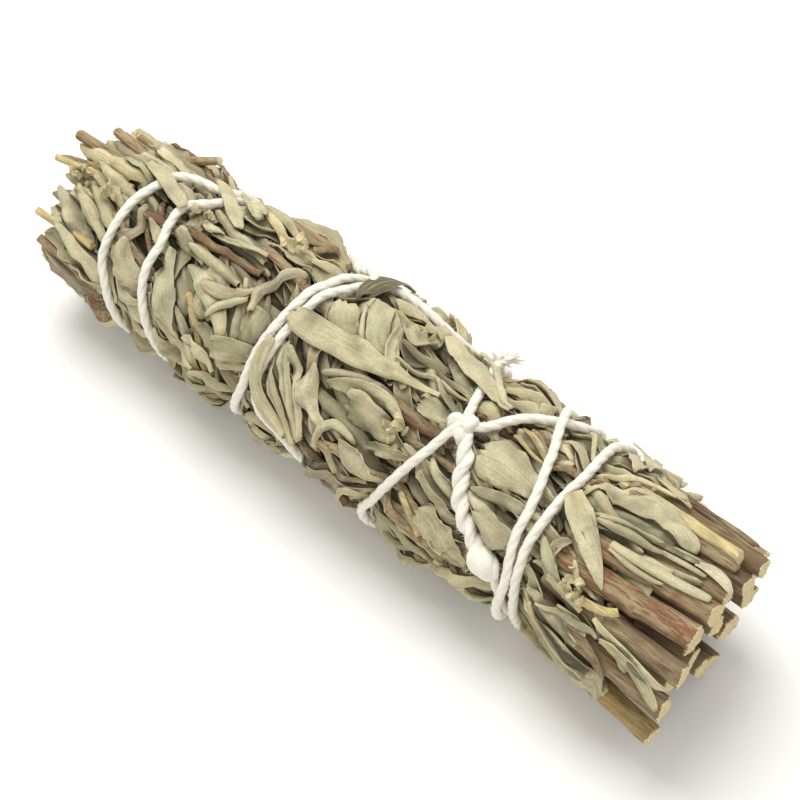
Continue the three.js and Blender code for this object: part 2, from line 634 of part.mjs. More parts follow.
// Stem places pushed apart in each cross-section until none touch
function settledStems() {
  const stems = CUT_STEMS.map(([name, end, tip, root, radius]) => ({
    name, end, radius,
    ends: [tip, root].map(([a, r]) => [-r * Math.sin(radians(a)), r * Math.cos(radians(a))]),
  }));
  for (let pass = 0; pass < 60; pass += 1) {
    for (const which of [0, 1]) {
      for (let i = 0; i < stems.length; i += 1) {
        for (let j = 0; j < i; j += 1) {
          const p = stems[i].ends[which];
          const q = stems[j].ends[which];
          const gap = Math.hypot(p[0] - q[0], p[1] - q[1]);
          const need = (stems[i].radius + stems[j].radius + STEM_GAP) / FLAT;
          if (gap < need) {
            const push = (0.5 * (need - gap)) / gap;
            const dy = (p[0] - q[0]) * push;
            const dz = (p[1] - q[1]) * push;
            p[0] += dy;
            p[1] += dz;
            q[0] -= dy;
            q[1] -= dz;
          }
        }
      }
    }
  }
  return stems;
}

function stemPoint(stem, s) {
  const t = (s - STEM_ROOT) / (61 - STEM_ROOT);
  const y = lerp(stem.ends[1][0], stem.ends[0][0], t);
  const z = lerp(stem.ends[1][1], stem.ends[0][1], t);
  return [s + SHIFT_X, SHIFT_Y + WIDE * y, AXIS_HEIGHT + FLAT * z];
}

function stemSolid(stem, extra) {
  const steps = [0, 0.4, 0.72, 1];
  const shape = [0.9, 1.0, 0.94, 1.0];
  const points = steps.map((t) => stemPoint(stem, lerp(STEM_ROOT - extra, stem.end + extra, t)));
  const radii = shape.map((k) => stem.radius * k + extra);
  return ringSolid(rodRings(points, radii, 7));
}

// A plain hole for a stem, clear of it all round
function stemHole(stem) {
  const points = [STEM_ROOT - CLEARANCE, stem.end + 1].map((s) => stemPoint(stem, s));
  const radius = (stem.radius + CLEARANCE) / Math.cos(Math.PI / 7);
  return ringSolid(rodRings(points, [radius, radius], 7));
}

// A straight twig; in the leaves it has a plain hole, clear of it all round
function twigRod([, tip, root, radius], extra, sides) {
  const tipPoint = new THREE.Vector3(...place(...tip));
  const rootPoint = new THREE.Vector3(...place(...root));
  const way = rootPoint.clone().sub(tipPoint).normalize().multiplyScalar(extra);
  const ends = [tipPoint.sub(way), rootPoint.add(way)].map((p) => [p.x, p.y, p.z]);
  const grow = extra > 0 ? 1 / Math.cos(Math.PI / sides) : 1;
  const radii = [0.85 * radius, radius].map((r) => (r + extra) * grow);
  return ringSolid(rodRings(ends, radii, sides));
}

// The dense middle of the bunch, which the leaves stand out of
function coreRadius(s, a) {
  const far = 0.82 + 0.18 * smooth(CORE_START, CORE_START + 5, s);
  const cut = 0.84 + 0.16 * (1 - smooth(CORE_END - 6, CORE_END, s));
  return (envelope(s, a) - CORE_DEPTH) * Math.min(far, cut);
}

function coreSolid() {
  const rings = [];
  const count = 22;
  for (let i = 0; i <= count; i += 1) {
    const s = lerp(CORE_START, CORE_END, i / count);
    const ring = [];
    for (let j = 0; j < CORE_SIDES; j += 1) {
      const a = (360 * j) / CORE_SIDES;
      ring.push(place(s, a, coreRadius(s, a)));
    }
    rings.push(ring);
  }
  return ringSolid(rings);
}

// Stations along a blade, one moved to where it passes under the twine
function bladeRows({ along, across, spots }, cells) {
  const rows = [];
  for (let i = 0; i <= cells; i += 1) rows.push(Math.round((i * (along - 1)) / cells));
  const gapAt = (row) => {
    const mid = spots[row * across + (across - 1) / 2];
    return gridAt(twineGap, mid.s, mid.a);
  };
  for (let row = 3; row < along - 3; row += 1) {
    const gap = gapAt(row);
    if (gap > 0.8 || gap > gapAt(row - 1) || gap > gapAt(row + 1)) continue;
    const i = clamp(Math.round((row * cells) / (along - 1)), 1, cells - 1);
    if (row > rows[i - 1] + 1 && row < rows[i + 1] - 1) rows[i] = row;
  }
  return rows;
}

// One leaf as a closed blade, its underside sunk into the middle of the bunch
function bladeSolid(entry) {
  const { leaf, along, across, spots } = entry;
  const rings = [];
  const seen = leaf.layer === 3;
  const cells = seen ? SEEN_CELLS : PLAIN_CELLS;
  for (const row of bladeRows(entry, cells)) {
    const mid = spots[row * across + (across - 1) / 2];
    const folded = leaf.width > FOLDED_WIDTH && seen;
    const columns = folded ? [0, (across - 1) / 2, across - 1] : [0, across - 1];
    const picks = columns.map((j) => spots[row * across + j]);
    const [first, last] = [picks[0], picks[picks.length - 1]];
    const wide = Math.hypot(first.s - last.s, (first.a - last.a) * DEG_MM);
    const turn = radians(leaf.heading + leaf.bend * (mid.t - 0.5));
    const top = [];
    const base = [];
    picks.forEach((p) => {
      let { s, a } = p;
      if (wide < BLADE_MIN_WIDTH) {
        s = mid.s - Math.sin(turn) * p.v * BLADE_MIN_WIDTH * 0.5;
        a = mid.a + (Math.cos(turn) * p.v * BLADE_MIN_WIDTH * 0.5) / DEG_MM;
      }
      const r = leafTop({ ...p, s, a }, leaf);
      const held = s > CORE_START + 1 && s < CORE_END - 1;
      const low = held ? Math.min(r - BLADE_MIN, coreRadius(s, a) - ROOT_SINK) : r - BLADE_MIN;
      top.push(place(s, a, r));
      base.push(place(s, a, low));
    });
    rings.push([...top, ...base.reverse()]);
  }
  const made = ringSolid(rings);
  return made.volume() < 0 ? null : made;
}

function largest(body) {
  const parts = body.decompose();
  let best = parts[0];
  for (const part of parts) if (part.volume() > best.volume()) best = part;
  return best;
}

function toMesh(name, body, colour) {
  const data = body.getMesh();
  const geometry = new THREE.BufferGeometry();
  geometry.setAttribute('position', new THREE.BufferAttribute(Float32Array.from(data.vertProperties), 3));
  geometry.setIndex(new THREE.BufferAttribute(Uint32Array.from(data.triVerts), 1));
  const material = new THREE.MeshStandardMaterial({ color: colour, roughness: 0.8, metalness: 0 });
  const mesh = new THREE.Mesh(geometry, material);
  mesh.name = name;
  return mesh;
}

const group = new THREE.Group();
const stems = settledStems();
const blades = draped.filter((entry) => shownShare(entry) > SHOWN_SHARE).map(bladeSolid).filter(Boolean);
let leaves = wasm.Manifold.union([coreSolid(), ...blades]);
const cuts = [
  twineSolid(CLEARANCE),
  ...stems.map(stemHole),
  ...FAR_TWIGS.map((twig) => twigRod(twig, CLEARANCE, 6)),
];
leaves = leaves.subtract(wasm.Manifold.union(cuts)).trimByPlane([0, 0, 1], 0);
leaves = largest(leaves.simplify ? leaves.simplify(0.03) : leaves);
const twine = largest(twineSolid(0));

group.add(toMesh('leaf_bundle', leaves, 0xa9a688));
group.add(toMesh('twine', twine, 0xefebdd));
stems.forEach((stem) => group.add(toMesh(stem.name, stemSolid(stem, 0), 0x9b8570)));
FAR_TWIGS.forEach((twig) => group.add(toMesh(twig[0], twigRod(twig, 0, 8), 0x9b8570)));

export default group;
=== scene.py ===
import math

import bpy
import numpy as np
from bpy.props import FloatProperty, FloatVectorProperty, IntProperty, PointerProperty
from mathutils import Matrix, Vector


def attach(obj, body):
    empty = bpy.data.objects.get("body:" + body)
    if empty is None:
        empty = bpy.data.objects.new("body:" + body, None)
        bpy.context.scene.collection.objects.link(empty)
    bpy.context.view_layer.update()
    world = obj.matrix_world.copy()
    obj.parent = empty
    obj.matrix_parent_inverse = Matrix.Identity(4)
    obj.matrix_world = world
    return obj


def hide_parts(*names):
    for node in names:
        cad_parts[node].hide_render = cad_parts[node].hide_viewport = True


bl_info = {
    "name": "Sage bunch",
    "version": (1, 0, 0),
    "blender": (4, 5, 0),
    "location": "3D View > Sidebar > Sage",
    "description": "A dried sage bundle bound with cotton twine",
    "category": "Add Mesh",
}

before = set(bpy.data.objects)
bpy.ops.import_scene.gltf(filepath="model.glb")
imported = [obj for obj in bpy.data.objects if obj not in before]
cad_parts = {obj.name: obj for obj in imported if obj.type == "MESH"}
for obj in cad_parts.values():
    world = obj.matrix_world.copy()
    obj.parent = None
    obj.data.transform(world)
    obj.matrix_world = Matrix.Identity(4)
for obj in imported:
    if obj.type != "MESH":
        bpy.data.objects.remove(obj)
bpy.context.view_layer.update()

# Sizes are in millimetres until a point is placed, and metres after that.
# A place on the bundle is s (along X), a (degrees round from the top, 90 in front)
# and r (distance from the bundle's axis). The bundle is a little wider than it is high.
MM = 0.001
AXIS_HEIGHT = 14.0
WIDE = 1.03
FLAT = 0.97
SHIFT_X = 1.12
SHIFT_Y = 0.0
MEAN_RADIUS = 14.4
CORE_START = -58.0
CORE_END = 50.0
# Radius of the leafy body: s, radius
BODY_RADIUS = [
    (-66, 11.4), (-61, 12.2), (-56, 13.1), (-50, 13.7), (-44, 13.8), (-36, 13.9), (-30, 14.3),
    (-24, 14.7), (-18, 14.6), (-10, 14.7), (-4, 14.8), (4, 14.5), (12, 14.3), (24, 14.1),
    (30, 14.0), (38, 14.1), (46, 14.2), (52, 13.9), (58, 13.4), (66, 12.8),
]
# How much further out it reaches along its far and near outlines: s, more
FAR_OUTLINE_AT = -60.0
FAR_OUTLINE = [
    (-56, 0.2), (-48, 0.5), (-42, -0.6), (-34, -0.5), (-28, 0.9), (-24, 2.0), (-20, 0.6),
    (-16, -0.7), (-8, 0.8), (-3, 0.6), (4, -0.7), (12, -0.8), (20, 0.8), (26, 0.2), (34, 0.9),
    (40, 0.3), (48, 0.0), (60, -0.6),
]
NEAR_OUTLINE_AT = 120.0
NEAR_OUTLINE = [
    (-58, 0.6), (-44, 0.0), (-30, -0.3), (-22, -1.2), (-14, -0.2), (-6, -1.0), (0, -0.8),
    (5, 1.0), (10, 0.8), (16, 1.2), (22, 0.2), (28, 0.6), (34, -0.6), (40, 0.4), (50, 0.8),
    (60, 2.2),
]
OUTLINE_SPREAD = 46.0
# The side it lies on is pressed flat
BED_SPREAD = 22.0
BED_RADIUS = 15.2
BED_ENDS = (-50.0, 50.0)

# Leaves: how much one raises the next, the spacing of their points, and the s they reach
LEAF_THICK = 0.42
DRAWN_THICK = 0.66
NARROW_THICK = 0.5
CELL = 0.5
LEAF_SEED = 41
FAR_TIPS = -62.5
NEAR_TIPS = 54.0
# The stems of the far side are bare: how much shorter leaves are there, and round which a
BARE_STEMS = 7.0
BARE_STEMS_AT = -55.0
# How many degrees the leaves in front lean, up to which s, and round which a that is
LEAN = ((-48, 22), (-15, 50), (-3, 42), (12, 24), (math.inf, 12))
FRONT_AT = 55.0
# Broad leaves at random, in rows along the bundle and columns round it
SCATTER_LAYERS = 3
SCATTER_ROWS = 6
SCATTER_COLS = 12
SCATTER_START = -58.0
SCATTER_LENGTH = 108.0
# Narrow leaves and twigs at random
STRIPS = 420
STRIPS_START = -54.0
STRIPS_LENGTH = 100.0
# Steps that spread numbered leaves evenly over a tone, the length and the way round
EVEN_TONE_STEP = 0.61803
EVEN_STEP_ALONG = 0.75488
EVEN_STEP_ROUND = 0.56984
# Rows of points for each millimetre of a leaf, by layer
NARROW_LAYER = 4
DRAWN_LAYER = 5
ROWS_PER_MM = {NARROW_LAYER: 0.95, DRAWN_LAYER: 1.5}
OTHER_ROWS_PER_MM = 1.1
# One piece for each layer of leaves, in order
LEAF_PIECES = ("leaves_lowest", "leaves_lower", "leaves_upper", "leaves_front",
               "leaves_narrow", "leaves_outer")
# Leaf tips that fill the leafy end
END_BLADES = 150
END_BLADE_REACH = 11.4
END_BLADE_ROOT = -53.0
END_BLADE_TIP = -59.8
END_BLADE_TURN = 137.5
# The dark middle lies this deep under the leaves
CORE_DEPTH = 2.3
# How close to the floor the lowest points may come
LEAF_FLOOR_GAP = 0.02
TWINE_FLOOR_GAP = 0.03
MIDDLE_FLOOR_GAP = 0.3

# Twine: its groove in the leaves, how far apart strands cross, and the spacing of its points
TWINE_RADIUS = 0.74
TWINE_PRESS = -0.2
TWINE_STEP = 0.6
STRAND_STEP = 0.5
OVER_RISE = 0.85
GROOVE_DEPTH = 1.3
GROOVE_REACH = 2.4
FAR_FROM_TWINE = 9.0
CROSS_REACH = 1.5
CORD_OFFSET = 0.56
CORD_PITCH = 6.4
STRAND_RADIUS_SCALE = 1.1
KNOT_RADIUS_SCALE = 1.3
FINE_STEP = 0.8
# A strand may cross itself only this far along, and rises over the other in a few steps
SELF_CROSS_MM = 20
EASE_STEPS = 4
# Route points left out at a knot, where the strands meet
KNOT_STEPS = 12
# Loose fibres: radius at the tip and at the root, length, and girth of a ply for their number
FIBRE_TIP = 0.006
FIBRE_ROOT = 0.022
FIBRE_LENGTH = 1.1
PLY_GIRTH = 3.0
PLY_SIDES = 9

# The long twine's way round the bundle: s, a, with a counted on from turn to turn
LONG_ROUTE = [
    (31.8, 74), (33.2, 84), (34, 100), (34.4, 125), (34.8, 160), (35.4, 200), (35.2, 250),
    (34.5, 302), (33.8, 313), (34.4, 333), (35, 346), (35.3, 356), (35.2, 367), (35.2, 386), (35.2, 408),
    (35.6, 418), (35.9, 430), (36.3, 443), (36.2, 461), (35.2, 505), (32, 560), (27.5, 620),
    (24.6, 655), (24.3, 668), (26, 687), (27.6, 700), (29.4, 713), (30.3, 722.5), (31.4, 733),
    (32.1, 742), (32.7, 753), (32.8, 761), (33.2, 770), (33.8, 780), (34.5, 792), (34.4, 812),
    (32.5, 850), (24, 900), (15, 965), (7, 1010), (1, 1029), (-7, 1033), (-11.8, 1041),
    (-14, 1056), (-14.4, 1069), (-15.2, 1079), (-15.2, 1087), (-15.3, 1101), (-15.7, 1122),
    (-15.8, 1143), (-16.1, 1155), (-17.4, 1171), (-22, 1230), (-28, 1300), (-34.5, 1370),
    (-37.6, 1405), (-38.9, 1425), (-41.4, 1440), (-41, 1455), (-39.8, 1470), (-39.8, 1485),
    (-39, 1500), (-37.6, 1515), (-36.2, 1530), (-35, 1545), (-34.4, 1620), (-35.6, 1700),
    (-38, 1752), (-39.6, 1768), (-44.5, 1774), (-47.5, 1785), (-47.7, 1797), (-48.5, 1815),
    (-48.5, 1830), (-48.3, 1845), (-47.9, 1860), (-46.3, 1875), (-45.2, 1890), (-40.5, 1960),
    (-29, 2050), (-16, 2108), (-10.5, 2129), (-11.5, 2140), (-12.5, 2149.5), (-13.4, 2159),
    (-13.4, 2167), (-13.5, 2181), (-13.8, 2202), (-13.8, 2223), (-12.0, 2241), (-7.4, 2250),
    (-1, 2300), (7, 2390), (11, 2455), (12, 2476), (13.5, 2491), (15.7, 2516.5), (17.3, 2533.5),
]
# The loop that leaves the main knot, goes round the back and returns
LOOP_ROUTE = [
    (17.3, 13.5), (20, 4), (21, -4), (22, -12), (23.5, -21), (25.3, -29), (27, -39), (29, -50),
    (29.2, -66), (25, -100), (18, -150), (11, -205), (8.3, -245), (8.5, -260), (10, -271),
    (12, -290), (13.3, -303), (14.5, -315.5), (15.5, -326.5), (16.3, -336), (17.3, -346.5),
]
# The doubled cord from the main knot to the puff
CORD_ROUTE = [
    (17.3, 13.5), (20.3, 25.6), (21.4, 35), (22.8, 45.5), (24.4, 54), (26, 59), (28.2, 65),
    (31.6, 71),
]
# The frayed end of the long twine: where, how high it lifts, how wide, and its strands
LOOSE_END = (12, -44)
LOOSE_LIFT = 1.5
LOOSE_SPREAD = 2.2
LOOSE_STRANDS = 24
# The knot: s, a, size, lift, turn
MAIN_KNOT = (17.3, 13.5, 1.45, 1.2, 20)
# The teased-out ball of cotton at the end of the doubled cord: from, to
PUFF = ((28.4, 65), (33.0, 75.5))

# Stems: s of the roots and of the listed tips, the gap between them, how full they are drawn,
# and how high leaves lie over them
STEM_ROOT = 39.0
STEM_TIP = 61.0
STEM_GAP = 0.36
STEM_FULLNESS = 1.1
ROOF_GAP = 0.42
STEM_ROWS = 44
TWIG_ROWS = 26
ROD_SIDES = 22
STEM_SEED = 100
TWIG_SEED = 200
# Share of a stem's length, and how thick it is there
STEM_TAPER = ((0, 0.9), (0.4, 1.0), (0.72, 0.95), (1, 1.0))
# name, end, (a, r) at the end, (a, r) at the root, radius, tone, red
CUT_STEMS = [
    ("stem_01", 61.5, (31, 12.7), (45, 12.3), 1.85, 0.66, 1.0),
    ("stem_02", 61.8, (17.7, 12.9), (22, 12.4), 1.55, 0.66, 0.75),
    ("stem_03", 61.2, (3, 12.5), (11, 11.0), 1.3, 0.56, 0.1),
    ("stem_04", 62.2, (-12, 12.4), (-3, 10.8), 1.4, 0.22, 0.2),
    ("stem_05", 58.5, (-25, 13.4), (-22, 13.2), 1.1, 1.0, 0.0),
    ("stem_06", 61.4, (-37, 12.7), (-35, 12.6), 1.35, 0.40, 0.3),
    ("stem_07", 62.6, (82, 13.8), (73, 12.4), 1.55, 0.50, 0.3),
    ("stem_08", 61.5, (115, 15.0), (106, 13.0), 1.5, 0.86, 0.1),
    ("stem_09", 62.8, (58, 12.6), (58, 11.8), 1.6, 0.44, 0.4),
    ("stem_10", 60.2, (97, 11.8), (90, 11.4), 1.2, 0.40, 0.2),
    ("stem_11", 59.4, (-58, 12.5), (-60, 12.0), 1.5, 0.45, 0.3),
    ("stem_12", 58.2, (-84, 12.6), (-82, 12.1), 1.6, 0.55, 0.5),
    ("stem_13", 58.4, (-110, 12.4), (-112, 12.2), 1.4, 0.40, 0.2),
    ("stem_14", 58.0, (-136, 12.0), (-134, 12.0), 1.55, 0.60, 0.4),
    ("stem_15", 59.0, (-165, 11.2), (-160, 11.4), 1.4, 0.35, 0.2),
    ("stem_16", 59.2, (138, 11.8), (136, 12.0), 1.5, 0.50, 0.3),
    ("stem_17", 60.6, (10, 8.4), (14, 7.6), 1.5, 0.45, 0.2),
    ("stem_18", 60.2, (44, 8.2), (48, 7.8), 1.6, 0.30, 0.4),
    ("stem_19", 59.6, (86, 7.8), (84, 7.6), 1.4, 0.40, 0.2),
    ("stem_20", 58.8, (128, 7.8), (126, 7.8), 1.5, 0.50, 0.2),
    ("stem_21", 59.6, (176, 7.4), (174, 7.6), 1.5, 0.45, 0.2),
    ("stem_22", 58.8, (-134, 7.8), (-132, 7.8), 1.4, 0.40, 0.2),
    ("stem_23", 59.8, (-84, 8.0), (-86, 7.8), 1.5, 0.50, 0.2),
    ("stem_24", 61.2, (-36, 8.4), (-40, 8.0), 1.45, 0.35, 0.2),
    ("stem_25", 60.2, (0, 3.6), (0, 3.6), 1.6, 0.45, 0.2),
    ("stem_26", 59.4, (125, 3.4), (120, 3.4), 1.5, 0.40, 0.2),
    ("stem_27", 60.0, (-118, 3.6), (-120, 3.6), 1.5, 0.45, 0.2),
]
# name, (s, a, r) at the tip, (s, a, r) at the root, radius, tone
FAR_TWIGS = [
    ("twig_01", (-65.0, 0, 12.8), (-50, -4, 12.4), 1.05, 0.66),
    ("twig_02", (-65.0, 23, 12.6), (-51, 9, 12.2), 0.65, 0.96),
    ("twig_03", (-60.8, -16, 14.0), (-48, -18, 12.0), 0.9, 0.70),
    ("twig_04", (-45.4, -42, 16.2), (-52.5, -46, 12.2), 0.75, 0.74),
    ("twig_05", (-59.6, -34, 12.6), (-50, -33, 12.2), 0.8, 0.72),
    ("twig_06", (-63.0, 62, 12.8), (-51, 60, 12.4), 0.75, 0.94),
    ("twig_07", (-61.5, 81, 13.0), (-50, 91, 12.2), 0.9, 0.7),
    ("twig_08", (-61.0, -78, 10.5), (-50, -74, 10.5), 1.1, 0.50),
    ("twig_09", (-60.2, 150, 9.8), (-50, 152, 9.8), 1.0, 0.45),
    ("twig_10", (-61.8, 30, 6.0), (-50, 30, 6.0), 1.2, 0.50),
    ("twig_11", (-60.6, -140, 5.5), (-50, -140, 5.5), 1.1, 0.45),
]

# Leaves seen in front: s, a, heading, bend, length, width, fold
SEEN_LEAVES = [
    (-54.5, 4, 172, 10, 15, 4.2, 0.4), (-55, 20, 164, -12, 15, 4.0, 0.3),
    (-54.5, 36, 160, 8, 16, 4.6, 0.2), (-54, 52, 158, -8, 16, 4.4, 0.3),
    (-54.5, 68, 156, 10, 15, 4.2, 0.5), (-54, 84, 160, -6, 15, 4.2, 0.3),
    (-53, -12, 176, 8, 17, 5.0, 0.2), (-51, 12, 20, 14, 20, 5.2, 0.2),
    (-50, 45, 24, -10, 18, 5.0, 0.3), (-50, 72, 25, 10, 17, 4.6, 0.4),
    (-44, 2, 10, 18, 22, 5.4, 0.2), (-43.5, 22, 18, 20, 20, 5.0, 0.3),
    (-43, 42, 28, -14, 18, 4.6, 0.2), (-42.5, 60, 40, 20, 18, 4.4, 0.4),
    (-42, 80, 30, -10, 20, 4.8, 0.2), (-34, -30, 8, -8, 26, 5.6, 0.1),
    (-33, -8, -6, 14, 26, 5.4, 0.3), (-32, 10, 6, 24, 24, 4.8, 0.4),
    (-32, 30, 34, 26, 22, 5.2, 0.2), (-30, 48, 52, 20, 20, 5.0, 0.3),
    (-28, 66, 50, -12, 22, 5.2, 0.2), (-27, 88, 40, 12, 22, 5.0, 0.3),
    (-23, -22, -4, 16, 24, 5.4, 0.2), (-22, -4, 8, -16, 22, 5.0, 0.3),
    (-22, 18, 20, 26, 22, 5.6, 0.2), (-21, 40, 44, 24, 20, 5.2, 0.2),
    (-20, 62, 56, -10, 20, 4.8, 0.4),
    (-9.5, 44, 42, 14, 19, 2.4, 0.8), (-8, 52, 44, 14, 20, 2.2, 0.8),
    (-9, 60, 46, 14, 20, 2.6, 0.7), (-6, 66, 44, 10, 20, 2.4, 0.8), (-4, 74, 42, 8, 21, 2.8, 0.6),
    (-4, 24, -8, -16, 27, 4.8, 0.2), (-8, -8, -14, 10, 17, 5.4, 0.3),
    (-3, -3, -34, 12, 15, 5.0, 0.5), (1, -18, -20, -20, 20, 5.6, 0.2),
    (-7, -38, 12, -10, 16, 4.6, 0.3), (4, 8, 10, 14, 20, 5.0, 0.2),
    (3, 40, 24, 10, 22, 5.2, 0.2), (5, 56, 30, -12, 20, 5.0, 0.3), (7, 74, 26, 10, 22, 5.4, 0.2),
    (12, -26, 38, 14, 22, 4.8, 0.2), (15, -4, 16, -14, 18, 4.4, 0.3),
    (25.4, 12, 12, -10, 15, 7.0, 0.05), (17, 36, 18, 16, 20, 5.2, 0.3),
    (22, 78, 14, -8, 24, 5.0, 0.2), (28, 44, 20, 14, 17, 4.8, 0.3), (28, -18, 14, -10, 16, 3.6, 0.5),
    (27, 62, 8, 12, 16, 4.4, 0.2), (20, 96, 10, 8, 26, 5.2, 0.2),
    (45.5, -4, -12, 6, 21, 3.6, 0.4), (47, 8, 4, -8, 20, 3.4, 0.5),
    (41.5, 26, 62, 6, 13, 3.2, 0.7), (41.5, 44, 30, 40, 9, 3.0, 0.7),
    (44.6, 63, 30, 30, 8, 4.0, 0.3), (54, 66, 36, -24, 14, 2.2, 0.5),
    (50.5, 14.5, -16, 4, 15, 1.9, 0.6), (44, 93, 14, 6, 20, 4.4, 0.2),
    (40, -36, 6, 10, 14, 4.6, 0.3), (50, 62, 18, 30, 13, 2.6, 0.5),
]

